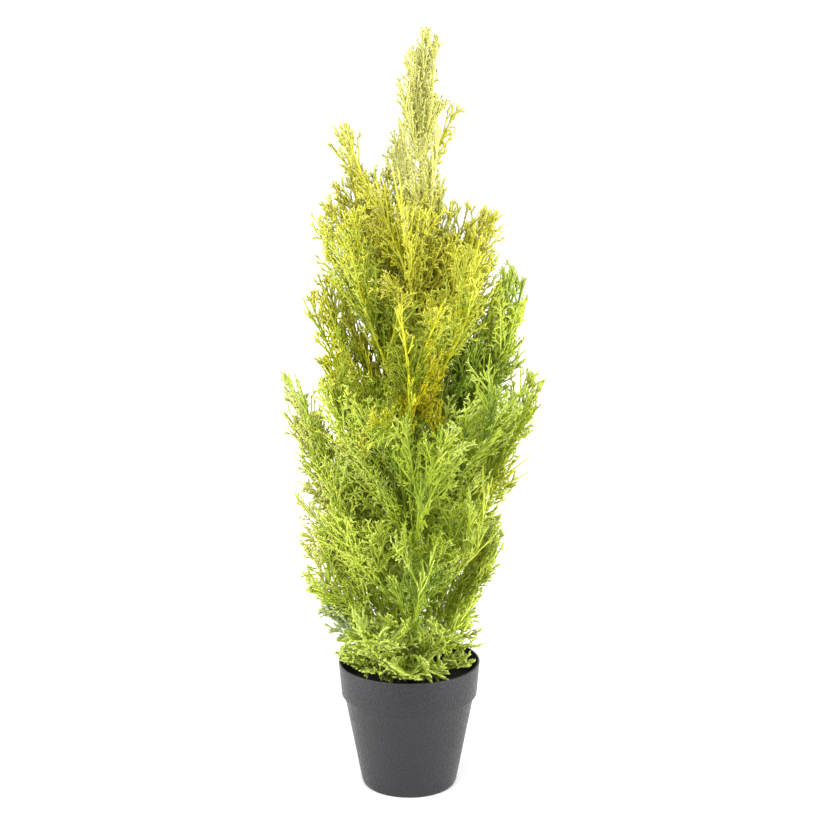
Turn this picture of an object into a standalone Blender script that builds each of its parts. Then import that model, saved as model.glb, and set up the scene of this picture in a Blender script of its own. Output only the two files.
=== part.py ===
"""Artificial cypress, 75 cm tall, in a filled plastic pot.

Metres, +Z up. The origin is the centre of the pot's flat underside, and the plant's best side faces -Y.
The pot is a turned shell, and its filling a turned plug. A slim trunk rises from the filling.
Moulded fronds leave the trunk in whorls that stand one above the other, like nested vases.
A frond is one closed solid: a three-sided rib, a long toothed spray at its end, and shorter side ones.
"""

import math
import random
from dataclasses import dataclass

import bmesh
import bpy
from mathutils import Matrix, Vector
from mathutils.bvhtree import BVHTree

# Whole plant
TOTAL_HEIGHT = 0.750

# Fits
GAP = 0.0003
CLEARANCE = 0.0007

# Pot
POT_HEIGHT = 0.129
RIM_RADIUS = 0.0707
COLLAR_DEPTH = 0.0345
COLLAR_FOOT_RADIUS = 0.0679
COLLAR_BEVEL = 0.0022
BODY_TOP_RADIUS = 0.0652
POT_FOOT_RADIUS = 0.0470
POT_FOOT_ROUND = 0.0030
POT_WALL = 0.0020
POT_FLOOR = 0.0030
POT_SIDES = 32

# Filling
FILL_TOP = 0.1070

# Trunk
TRUNK_TOP = 0.612
TRUNK_FOOT_RADIUS = 0.0038
TRUNK_TIP_RADIUS = 0.0017
TRUNK_LEAN = 0.0125
TRUNK_BOW = 1.2
TRUNK_STEPS = 10
TRUNK_UPRIGHT = FILL_TOP + (TRUNK_TOP - FILL_TOP) / TRUNK_STEPS

# Crown: how far from the trunk's axis the frond tips stand, at each height
CROWN_OUTLINE = (
    (0.130, 0.058),
    (0.170, 0.078),
    (0.240, 0.099),
    (0.300, 0.104),
    (0.400, 0.120),
    (0.500, 0.108),
    (0.580, 0.084),
    (0.665, 0.060),
    (0.700, 0.040),
    (0.750, 0.005),
)
PEAKS = {"crown_frond_1": 1.34, "crown_frond_3": 0.78}

# Fronds
SEED = 75
PEG_LENGTH = 0.0035
RIB_SIDES = 3
RIB_STEPS = 4
RIB_FOOT_RADIUS = 0.0018
RIB_TIP_RADIUS = 0.0010
BEND_OUT = 0.66
BEND_UP = 0.40
END_SPRAY_START = 0.36
RIB_END = 0.46
SIDE_SPRAY_SHARES = (0.22, 0.32)
SIDE_ANGLE = math.radians(34)
SIDE_ROLL = math.radians(38)
TIP_SHORT = 0.004
AZIMUTH_CHANCE = 7
FOOT_CHANCE = 0.004
ROLL_CHANCE = 20

# Sprays: fingers lean forward from a midrib, one side set half a step above the other
SPRAY_THICKNESS = 0.0011
SPRAY_WIDTH = 0.31
SPRAY_ROOT = 0.022
SPRAY_FORK = 0.020
FINGER_ANGLE = math.radians(37)
FINGERS_FROM = 0.10
FINGERS_TO = 0.86
FINGER_PITCH = 0.0195
FEWEST_FINGERS = 4
MOST_FINGERS = 7
SHORTER = (1.0, 0.88, 0.76, 0.64, 0.52)
TURNS = (0, 16, -16, 32, -32)
FLAT_ANGLE = math.radians(0.2)

# Tints, from the oldest growth at the foot to the leader
TINTS = {
    "foot_green": (0.31, 0.40, 0.08),
    "fresh_green": (0.25, 0.34, 0.05),
    "deep_green": (0.15, 0.25, 0.03),
    "yellow_green": (0.38, 0.42, 0.04),
    "gold_green": (0.60, 0.60, 0.12),
}


@dataclass(frozen=True)
class Whorl:
    """A ring of fronds that leave the trunk at one height.

    foot is the height on the trunk, and tips are the heights of the frond tips in order round the trunk.
    start is the first frond's azimuth from +X and roll turns each fan about its rib, both in degrees.
    At 0 a fan faces outwards, and at 90 it stands out from the trunk like a fin.
    side is the length of a side spray, and width widens or narrows the end spray.
    """

    name: str
    foot: float
    tips: tuple
    start: float
    roll: float
    side: float
    width: float
    tint: str


WHORLS = (
    Whorl("skirt", 0.121, (0.128, 0.130, 0.127, 0.129, 0.131), 200, 0, 0.034, 1.15, "foot_green"),
    Whorl("foot", 0.130, (0.166, 0.180, 0.188, 0.172, 0.184), 240, 12, 0.058, 1.15, "foot_green"),
    Whorl("low", 0.152, (0.232, 0.250, 0.236, 0.244), 188, 78, 0.072, 1.0, "fresh_green"),
    Whorl("lower", 0.186, (0.302, 0.282, 0.312, 0.290), 224, 12, 0.080, 1.0, "fresh_green"),
    Whorl("middle", 0.228, (0.376, 0.348, 0.384, 0.356), 184, 78, 0.086, 1.0, "fresh_green"),
    Whorl("upper", 0.278, (0.428, 0.408, 0.440, 0.416), 222, 12, 0.088, 1.0, "deep_green"),
    Whorl("high", 0.332, (0.496, 0.470, 0.488, 0.474), 182, 78, 0.084, 1.0, "yellow_green"),
    Whorl("higher", 0.394, (0.560, 0.532, 0.548, 0.538), 218, 12, 0.078, 1.0, "yellow_green"),
    Whorl("shoulder", 0.458, (0.612, 0.596, 0.586, 0.582), 166, 78, 0.064, 0.9, "gold_green"),
    Whorl("crown", 0.528, (0.664, 0.690, 0.680, 0.672), 196, 60, 0.050, 0.8, "gold_green"),
)
LEADER = Whorl("leader", TRUNK_TOP + GAP, (TOTAL_HEIGHT,), 250, 0, 0.046, 0.5, "gold_green")


@dataclass(frozen=True)
class Frond:
    """One moulded frond: where its rib starts on the trunk, where its tip stands, and how its fan lies."""

    name: str
    azimuth: float
    foot: float
    tip: Vector
    side: float
    width: float
    roll: float
    tint: str


def clear_scene():
    """Removes whatever the scene holds, so that the file can be run again."""
    for thing in list(bpy.data.objects):
        bpy.data.objects.remove(thing)


def new_collection(name):
    """A collection linked to the scene."""
    made = bpy.data.collections.new(name)
    bpy.context.scene.collection.children.link(made)
    return made


def material(name, colour, roughness):
    """A plain moulded-plastic finish."""
    made = bpy.data.materials.get(name) or bpy.data.materials.new(name)
    made.use_nodes = True
    shader = made.node_tree.nodes["Principled BSDF"]
    shader.inputs["Base Color"].default_value = (*colour, 1.0)
    shader.inputs["Roughness"].default_value = roughness
    shader.inputs["Metallic"].default_value = 0.0
    return made


def add_object(name, data, collection, finish=None):
    """Links an object made from a mesh or a curve, and gives it its finish."""
    made = bpy.data.objects.new(name, data)
    collection.objects.link(made)
    if finish:
        data.materials.append(finish)
    return made


def turned(name, profile, sides, collection, finish):
    """A shape turned about Z from an open profile of (radius, height) points.

    The profile starts and ends on the axis and runs down its outer side.
    """
    mesh = bpy.data.meshes.new(name)
    points = [(radius, 0.0, height) for radius, height in profile]
    mesh.from_pydata(points, [(i, i + 1) for i in range(len(points) - 1)], [])
    made = add_object(name, mesh, collection, finish)
    screw = made.modifiers.new("Turn", "SCREW")
    screw.steps = screw.render_steps = sides
    screw.use_merge_vertices = True
    screw.merge_threshold = 0.00001
    screw.use_smooth_shade = True
    return made


def inner_radius(height):
    """Radius of the pot's inside at a height: the body's slope, less the wall."""
    body_top = POT_HEIGHT - COLLAR_DEPTH
    slope = (BODY_TOP_RADIUS - POT_FOOT_RADIUS) / body_top
    return POT_FOOT_RADIUS + slope * min(height, body_top) - POT_WALL


def build_pot(collection):
    """The pot: a tapered body under a straighter collar, with a rounded foot and a thin rim."""
    collar_foot = POT_HEIGHT - COLLAR_DEPTH
    rim_inside = RIM_RADIUS - POT_WALL
    profile = [
        (0.0, POT_FLOOR),
        (inner_radius(POT_FLOOR), POT_FLOOR),
        (inner_radius(collar_foot), collar_foot - COLLAR_BEVEL),
        (COLLAR_FOOT_RADIUS - POT_WALL, collar_foot + COLLAR_BEVEL),
        (rim_inside, POT_HEIGHT - POT_WALL / 3),
        (rim_inside + POT_WALL / 3, POT_HEIGHT),
        (RIM_RADIUS - POT_WALL / 3, POT_HEIGHT),
        (RIM_RADIUS, POT_HEIGHT - POT_WALL / 3),
        (COLLAR_FOOT_RADIUS, collar_foot + COLLAR_BEVEL / 2),
        (BODY_TOP_RADIUS, collar_foot - COLLAR_BEVEL / 2),
    ]
    round_centre = POT_FOOT_RADIUS - POT_FOOT_ROUND
    for degrees in (0, 45, 90):
        turn = math.radians(degrees)
        radius = round_centre + POT_FOOT_ROUND * math.cos(turn)
        profile.append((radius, POT_FOOT_ROUND * (1 - math.sin(turn))))
    profile.append((0.0, 0.0))
    return turned("pot", profile, POT_SIDES, collection, material("pot_plastic", (0.075, 0.075, 0.08), 0.6))


def build_filling(collection):
    """The filling: a plug that fits the pot's inside, a gap clear all round, flat on top."""
    bottom = POT_FLOOR + GAP
    collar_foot = POT_HEIGHT - COLLAR_DEPTH
    top_inside = COLLAR_FOOT_RADIUS - POT_WALL
    rise = (FILL_TOP - collar_foot - COLLAR_BEVEL) / (COLLAR_DEPTH - COLLAR_BEVEL)
    top_radius = top_inside + (RIM_RADIUS - COLLAR_FOOT_RADIUS) * rise
    clear = 2 * GAP
    black = material("filling_black", (0.012, 0.012, 0.013), 0.9)
    profile = [
        (0.0, FILL_TOP),
        (top_radius - clear, FILL_TOP),
        (top_inside - clear, collar_foot + COLLAR_BEVEL),
        (inner_radius(collar_foot) - clear, collar_foot - COLLAR_BEVEL),
        (inner_radius(bottom) - clear, bottom),
        (0.0, bottom),
    ]
    return turned("filling", profile, POT_SIDES, collection, black)


def trunk_centre(height):
    """Centre of the trunk at a height: upright at its foot, and above that leaning a little to +X."""
    share = max(height - TRUNK_UPRIGHT, 0.0) / (TRUNK_TOP - TRUNK_UPRIGHT)
    return Vector((TRUNK_LEAN * share**TRUNK_BOW, 0.0, height))


def trunk_radius(height):
    """Radius of the trunk at a height, an even taper."""
    share = (height - FILL_TOP) / (TRUNK_TOP - FILL_TOP)
    return TRUNK_FOOT_RADIUS + (TRUNK_TIP_RADIUS - TRUNK_FOOT_RADIUS) * share


def tapered_curve(name, points, radii, collection, bevel=None):
    """A limb as a curve with filled caps. It is round, or has the section of the bevel object."""
    curve = bpy.data.curves.new(name, "CURVE")
    curve.dimensions = "3D"
    curve.use_fill_caps = True
    if bevel:
        curve.bevel_mode = "OBJECT"
        curve.bevel_object = bevel
    else:
        curve.bevel_depth = 1.0
        curve.bevel_resolution = 3
    spline = curve.splines.new("POLY")
    spline.points.add(len(points) - 1)
    for place, at, radius in zip(spline.points, points, radii):
        place.co = (*at, 1.0)
        place.radius = radius
    return add_object(name, curve, collection)


def welded_mesh(curve_object):
    """A closed mesh of a curve object in world space. The curve object is removed."""
    depsgraph = bpy.context.evaluated_depsgraph_get()
    mesh = bpy.data.meshes.new_from_object(curve_object.evaluated_get(depsgraph))
    mesh.transform(curve_object.matrix_world)
    shape = bmesh.new()
    shape.from_mesh(mesh)
    bmesh.ops.remove_doubles(shape, verts=shape.verts, dist=0.000005)
    bmesh.ops.recalc_face_normals(shape, faces=shape.faces)
    shape.to_mesh(mesh)
    shape.free()
    bpy.data.objects.remove(curve_object)
    return mesh


def build_trunk(collection):
    """The trunk: one slim tapering stem from a flat cut on the filling up into the leader."""
    foot = FILL_TOP + GAP
    heights = [foot + (TRUNK_TOP - foot) * i / TRUNK_STEPS for i in range(TRUNK_STEPS + 1)]
    points = [trunk_centre(height) for height in heights]
    curve = tapered_curve("trunk", points, [trunk_radius(height) for height in heights], collection)
    mesh = welded_mesh(curve)
    return add_object("trunk", mesh, collection, material("trunk_bark", (0.09, 0.06, 0.035), 0.8))


def crown_reach(height):
    """Distance of the frond tips from the trunk's axis at a height, read along the crown's outline."""
    for (low, near), (high, far) in zip(CROWN_OUTLINE, CROWN_OUTLINE[1:]):
        if height <= high:
            return near + (far - near) * max(height - low, 0.0) / (high - low)
    return CROWN_OUTLINE[-1][1]


def plan_fronds():
    """Every frond of the crown, whorl by whorl, and the leader that stands on the trunk's tip."""
    fronds = []
    for number, whorl in enumerate(WHORLS):
        count = len(whorl.tips)
        for place, tip_height in enumerate(whorl.tips):
            chance = random.Random(SEED + 100 * number + place)
            turn = chance.uniform(-AZIMUTH_CHANCE, AZIMUTH_CHANCE)
            foot = whorl.foot + chance.uniform(-FOOT_CHANCE, FOOT_CHANCE)
            spread = chance.uniform(-ROLL_CHANCE, ROLL_CHANCE) if whorl.roll else 0
            name = f"{whorl.name}_frond_{place + 1}"
            azimuth = math.radians(whorl.start + 360 * place / count + turn)
            reach = crown_reach(tip_height) * PEAKS.get(name, 1.0) - TIP_SHORT
            tip = trunk_centre(tip_height) + reach * Vector((math.cos(azimuth), math.sin(azimuth), 0.0))
            roll = math.radians(whorl.roll + spread)
            fronds.append(Frond(name, azimuth, foot, tip, whorl.side, whorl.width, roll, whorl.tint))
    azimuth = math.radians(LEADER.start)
    top = trunk_centre(TOTAL_HEIGHT)
    leader = Frond("leader_frond", azimuth, LEADER.foot, top, LEADER.side, LEADER.width, 0.0, LEADER.tint)
    return fronds + [leader]


def rib_point(frond, share):
    """A point of a rib's centre line: one curve from its peg's end that leans out and rises to the tip."""
    outward = Vector((math.cos(frond.azimuth), math.sin(frond.azimuth), 0.0))
    if frond.foot > TRUNK_TOP:
        start = trunk_centre(frond.foot) + Vector((0.0, 0.0, PEG_LENGTH))
    else:
        start = trunk_centre(frond.foot) + outward * (trunk_radius(frond.foot) + GAP + PEG_LENGTH)
    run = frond.tip - start
    bend = start + Vector((run.x * BEND_OUT, run.y * BEND_OUT, run.z * BEND_UP))
    return start * (1 - share) ** 2 + bend * 2 * share * (1 - share) + frond.tip * share**2


def rib_line(frond):
    """Centre line of a rib: a short peg straight out of the trunk, and the curve up to the rib's end."""
    outward = Vector((math.cos(frond.azimuth), math.sin(frond.azimuth), 0.0))
    peg = trunk_centre(frond.foot)
    if frond.foot < TRUNK_TOP:
        peg += outward * (trunk_radius(frond.foot) + GAP)
    return [peg] + [rib_point(frond, RIB_END * i / RIB_STEPS) for i in range(RIB_STEPS + 1)]


def spray_edge(fingers, hand, offset):
    """The points of one edge of a spray, from root to tip: each finger's end, and the fork above it."""
    points = [(hand * SPRAY_ROOT, 0.0)]
    step = (FINGERS_TO - FINGERS_FROM) / fingers
    for finger in range(fingers):
        low = FINGERS_FROM + step * (finger + offset)
        share = (low - FINGERS_FROM) / (FINGERS_TO - FINGERS_FROM)
        width = SPRAY_WIDTH * math.sin(math.pi * (0.30 + 0.62 * share)) ** 0.7
        points.append((hand * width, low + width / math.tan(FINGER_ANGLE)))
        points.append((hand * SPRAY_FORK * (1 - 0.5 * share), low + step))
    return points


def spray_template(fingers, collection):
    """A spray one unit long, flat in XY and pointing along +Y, of the real thickness in Z."""
    left = spray_edge(fingers, -1, 0.0)
    right = spray_edge(fingers, 1, 0.45)
    outline = left + [(0.0, 1.0)] + right[::-1]
    curve = bpy.data.curves.new("spray_outline", "CURVE")
    curve.dimensions = "2D"
    curve.fill_mode = "BOTH"
    curve.extrude = SPRAY_THICKNESS / 2
    spline = curve.splines.new("POLY")
    spline.points.add(len(outline) - 1)
    for place, (x, y) in zip(spline.points, outline):
        place.co = (x, y, 0.0, 1.0)
    spline.use_cyclic_u = True
    return welded_mesh(add_object("spray_outline", curve, collection))


def pointing(place, forward, normal):
    """The matrix that carries +Y to forward and +Z as near as it can to normal, at a place."""
    forward = forward.normalized()
    side = forward.cross(normal).normalized()
    turn = Matrix((side, forward, side.cross(forward))).transposed()
    return Matrix.Translation(place) @ turn.to_4x4()


class Space:
    """What already stands in the plant, kept as one search tree for each owner."""

    def __init__(self):
        self.shapes = {}
        self.trees = {}
        self.corners = {}

    def add(self, owner, mesh):
        """Adds a mesh, in world space, to what the owner holds."""
        points, faces = self.shapes.setdefault(owner, ([], []))
        offset = len(points)
        points.extend(vertex.co.copy() for vertex in mesh.vertices)
        faces.extend([offset + i for i in face.vertices] for face in mesh.polygons)
        self.trees[owner] = BVHTree.FromPolygons(points, faces)
        low = Vector(min(point[axis] for point in points) for axis in range(3))
        high = Vector(max(point[axis] for point in points) for axis in range(3))
        self.corners[owner] = (low, high)

    def touches_another(self, owner, mesh):
        """True if a mesh meets anything that another owner holds."""
        points = [vertex.co.copy() for vertex in mesh.vertices]
        tree = BVHTree.FromPolygons(points, [list(face.vertices) for face in mesh.polygons])
        low = [min(point[axis] for point in points) for axis in range(3)]
        high = [max(point[axis] for point in points) for axis in range(3)]
        for other, (other_low, other_high) in self.corners.items():
            apart = any(low[a] > other_high[a] or high[a] < other_low[a] for a in range(3))
            if other != owner and not apart and tree.overlap(self.trees[other]):
                return True
        return False


def placed(template, matrix, scale):
    """A copy of a template mesh, scaled about its foot and carried to its place."""
    mesh = template.copy()
    mesh.transform(matrix @ Matrix.Diagonal((*scale, 1.0)))
    return mesh


def fan_sides(direction, azimuth, roll):
    """The side and normal directions of a fan whose rib runs in a direction, turned by its roll."""
    across = Vector((-math.sin(azimuth), math.cos(azimuth), 0.0))
    across = (across - direction * across.dot(direction)).normalized()
    side = (Matrix.Rotation(roll, 3, direction) @ across).normalized()
    return side, direction.cross(side).normalized()


def add_spray(space, frond, pieces, templates, root, forward, normal, length, width=1.0):
    """Puts one spray on a frond, unless it would touch another frond, the trunk or the pot.

    A spray that touches is turned about its midrib, then made shorter, so the frond keeps to its own space.
    """
    for shorter in SHORTER:
        reach = length * shorter
        template = templates[min(max(round(reach / FINGER_PITCH), FEWEST_FINGERS), MOST_FINGERS)]
        for turn in TURNS:
            turned_normal = Matrix.Rotation(math.radians(turn), 3, forward) @ normal
            matrix = pointing(root, forward, turned_normal)
            fat = 1 + 2 * CLEARANCE / SPRAY_THICKNESS
            fat_spray = placed(template, matrix, (reach * width + 2 * CLEARANCE, reach + CLEARANCE, fat))
            if not space.touches_another(frond.name, fat_spray):
                spray = placed(template, matrix, (reach * width, reach, 1.0))
                space.add(frond.name, spray)
                pieces.append(spray)
                return


def grow_rib(frond, collection, bevel):
    """A frond's rib as a three-sided tapering mesh."""
    line = rib_line(frond)
    taper = (RIB_TIP_RADIUS - RIB_FOOT_RADIUS) / (len(line) - 1)
    radii = [RIB_FOOT_RADIUS + taper * i for i in range(len(line))]
    return welded_mesh(tapered_curve(frond.name, line, radii, collection, bevel))


def grow_sprays(space, fronds, pieces, templates):
    """Grows every frond's end spray, then side sprays in turn, so that none crowds out its neighbours."""
    for frond in fronds:
        root = rib_point(frond, END_SPRAY_START)
        forward = frond.tip - root
        _, normal = fan_sides(forward.normalized(), frond.azimuth, frond.roll)
        held = pieces[frond.name]
        add_spray(space, frond, held, templates, root, forward, normal, forward.length, frond.width)
    for number, share in enumerate(SIDE_SPRAY_SHARES):
        for order, frond in enumerate(fronds):
            hand = 1 if (number + order) % 2 else -1
            root = rib_point(frond, share)
            direction = (rib_point(frond, share + 0.05) - root).normalized()
            side, normal = fan_sides(direction, frond.azimuth, frond.roll + hand * SIDE_ROLL)
            forward = direction * math.cos(SIDE_ANGLE) + side * hand * math.sin(SIDE_ANGLE)
            add_spray(space, frond, pieces[frond.name], templates, root, forward, normal, frond.side)


def keep_outer_shell(mesh):
    """Keeps the largest connected surface of a mesh, and joins its faces that lie in one plane.

    This drops loose scraps, and hollows that fusing sealed.
    """
    shape = bmesh.new()
    shape.from_mesh(mesh)
    left = set(shape.verts)
    islands = []
    while left:
        front = [left.pop()]
        island = set(front)
        while front:
            near = {edge.other_vert(vertex) for vertex in front for edge in vertex.link_edges}
            front = list(near & left)
            left.difference_update(front)
            island.update(front)
        islands.append(island)
    largest = max(islands, key=len)
    scraps = [vertex for vertex in shape.verts if vertex not in largest]
    bmesh.ops.delete(shape, geom=scraps, context="VERTS")
    bmesh.ops.dissolve_limit(shape, angle_limit=FLAT_ANGLE, verts=shape.verts, edges=shape.edges)
    shape.to_mesh(mesh)
    shape.free()


def fuse(frond, rib, pieces, collection):
    """Joins a frond's rib and sprays into one closed solid with a Boolean union on a collection."""
    parts = new_collection("parts_of_" + frond.name)
    for number, mesh in enumerate(pieces):
        add_object(f"{frond.name}_piece_{number}", mesh, parts)
    made = add_object(frond.name, rib, collection)
    union = made.modifiers.new("Fuse", "BOOLEAN")
    union.operation = "UNION"
    union.operand_type = "COLLECTION"
    union.collection = parts
    union.solver = "MANIFOLD"
    depsgraph = bpy.context.evaluated_depsgraph_get()
    fused = bpy.data.meshes.new_from_object(made.evaluated_get(depsgraph))
    made.modifiers.clear()
    made.data = fused
    keep_outer_shell(fused)
    for piece in list(parts.objects):
        bpy.data.objects.remove(piece)
    bpy.data.collections.remove(parts)
    fused.materials.clear()
    fused.materials.append(material(frond.tint, TINTS[frond.tint], 0.55))
    return made


def build_crown(collection, guides, standing):
    """All the fronds. Ribs come first, then sprays wherever there is room for them."""
    triangle = bpy.data.curves.new("rib_section", "CURVE")
    triangle.dimensions = "2D"
    corners = triangle.splines.new("POLY")
    corners.points.add(RIB_SIDES - 1)
    for i, corner in enumerate(corners.points):
        turn = math.radians(90 + 360 * i / RIB_SIDES)
        corner.co = (math.cos(turn), math.sin(turn), 0.0, 1.0)
    corners.use_cyclic_u = True
    bevel = add_object("rib_section", triangle, guides)
    space = Space()
    for thing in standing:
        depsgraph = bpy.context.evaluated_depsgraph_get()
        space.add(thing.name, thing.evaluated_get(depsgraph).to_mesh())
    fronds = plan_fronds()
    ribs, pieces = {}, {}
    for frond in fronds:
        ribs[frond.name] = grow_rib(frond, guides, bevel)
        pieces[frond.name] = []
        space.add(frond.name, ribs[frond.name])
    templates = {n: spray_template(n, guides) for n in range(FEWEST_FINGERS, MOST_FINGERS + 1)}
    grow_sprays(space, fronds, pieces, templates)
    for frond in fronds:
        fuse(frond, ribs[frond.name], pieces[frond.name], collection)
    bpy.data.objects.remove(bevel)


def main():
    """Builds the whole plant in its pot."""
    clear_scene()
    plant = new_collection("potted_cypress")
    guides = new_collection("guides")
    pot = build_pot(plant)
    filling = build_filling(plant)
    trunk = build_trunk(plant)
    build_crown(plant, guides, (pot, filling, trunk))


main()
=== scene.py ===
"""Looks of a potted artificial cypress: moulded fronds on a wrapped stem, in a grained plastic pot.

Metres, +Z up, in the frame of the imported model, whose best side faces -Y.
The fronds grow by the same rule as the solids of the model, from the same whorls and the same seed.
A rib carries a long spray at its end, two at its sides, shorter ones all along it and, on some fronds,
further ones that are aimed at single tips. A spray has side branches, those have branchlets, and every
branchlet has one or two short forks. All of them are strands, and a strand is one parabola, so each level
of the growth is worked out for a whole spray at once.
"""

import logging
import math
import random
from dataclasses import dataclass, field, fields, replace
from enum import Enum

import bpy
import numpy as np
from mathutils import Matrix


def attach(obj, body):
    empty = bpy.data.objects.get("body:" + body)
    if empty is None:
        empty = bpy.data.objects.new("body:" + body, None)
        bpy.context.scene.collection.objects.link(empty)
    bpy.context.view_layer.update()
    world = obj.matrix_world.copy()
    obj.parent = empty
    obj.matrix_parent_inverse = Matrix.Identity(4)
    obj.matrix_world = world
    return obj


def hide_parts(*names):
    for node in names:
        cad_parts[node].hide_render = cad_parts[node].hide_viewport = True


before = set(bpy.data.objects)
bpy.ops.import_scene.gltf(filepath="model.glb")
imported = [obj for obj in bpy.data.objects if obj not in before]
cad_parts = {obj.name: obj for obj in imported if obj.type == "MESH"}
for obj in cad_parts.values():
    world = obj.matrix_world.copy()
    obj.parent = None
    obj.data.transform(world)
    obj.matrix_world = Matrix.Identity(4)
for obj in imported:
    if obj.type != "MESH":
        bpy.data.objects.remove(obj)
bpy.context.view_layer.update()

Array = np.ndarray
Draws = np.random.Generator
Socket = bpy.types.NodeSocket
Pair = tuple[float, float]
Triple = tuple[float, float, float]
LOG = logging.getLogger("potted_cypress")
BODY = "root"
SEED = 75
GRIT_SEED = SEED + 1
BARK_SEED = SEED + 2
EDGE_SEED = SEED + 3
GROWTH_SEED = SEED + 1000
MM = 0.001


def unit(vectors: Array) -> Array:
    """Scales vectors, held in the last axis, to a length of one."""
    return vectors / np.linalg.norm(vectors, axis=-1, keepdims=True)


def dot(first: Array, second: Array) -> Array:
    """Dot products along the last axis, which stays with a length of one."""
    return np.sum(first * second, axis=-1, keepdims=True)


def square_to(vectors: Array, along: Array) -> Array:
    """The part of each vector that is square to a unit direction, scaled to a length of one."""
    return unit(vectors - along * dot(vectors, along))


def waves(points: Array, size: float, seed: int, count: int = 24) -> Array:
    """A smooth random relief: plane waves of one length added up, over the root of their count.

    Each wave is the cosine of the place along a random heading plus a random phase.

    Args:
        points: places as an array of (..., 3).
        size: length of a wave.
        seed: seed of the headings and phases.
        count: how many waves are added.

    Returns:
        Heights that are seldom beyond -2 and 2, as an array of (...).
    """
    chance = np.random.default_rng(seed)
    headings = unit(chance.normal(size=(count, 3))) * math.tau / size
    phases = chance.uniform(0, math.tau, count)
    return np.cos(points @ headings.T + phases).sum(axis=-1) / math.sqrt(count)


def bearing(azimuth: float) -> Array:
    """The level unit vector at an azimuth from +X."""
    return np.array([math.cos(azimuth), math.sin(azimuth), 0.0])


def circle(radius: Array | float, height: Array | float, turn: Array) -> Array:
    """Points of circles about Z: radius times cosine and sine of the turn, at a height."""
    rows = np.broadcast_arrays(radius * np.cos(turn), radius * np.sin(turn), height)
    return np.stack(rows, axis=-1)


def ring_walls(rings: int, sides: int) -> tuple[Array, Array]:
    """Numbers the points of a stack of rings, and joins each ring to the next by quads.

    Args:
        rings: how many rings there are.
        sides: how many points each has.

    Returns:
        The numbers as an array of (rings, sides), and the quads as an array of (n, 4).
    """
    number = np.arange(rings * sides).reshape(rings, sides)
    beside = np.roll(number, -1, axis=1)
    quads = np.stack([number[:-1], beside[:-1], beside[1:], number[1:]], axis=-1)
    return number, quads.reshape(-1, 4)


def put(name: str, data: bpy.types.ID) -> bpy.types.Object:
    """Makes an object and links it to the scene.

    Args:
        name: the object's name.
        data: its mesh, light or camera.

    Returns:
        The new object.
    """
    made = bpy.data.objects.new(name, data)
    bpy.context.scene.collection.objects.link(made)
    return made


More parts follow.
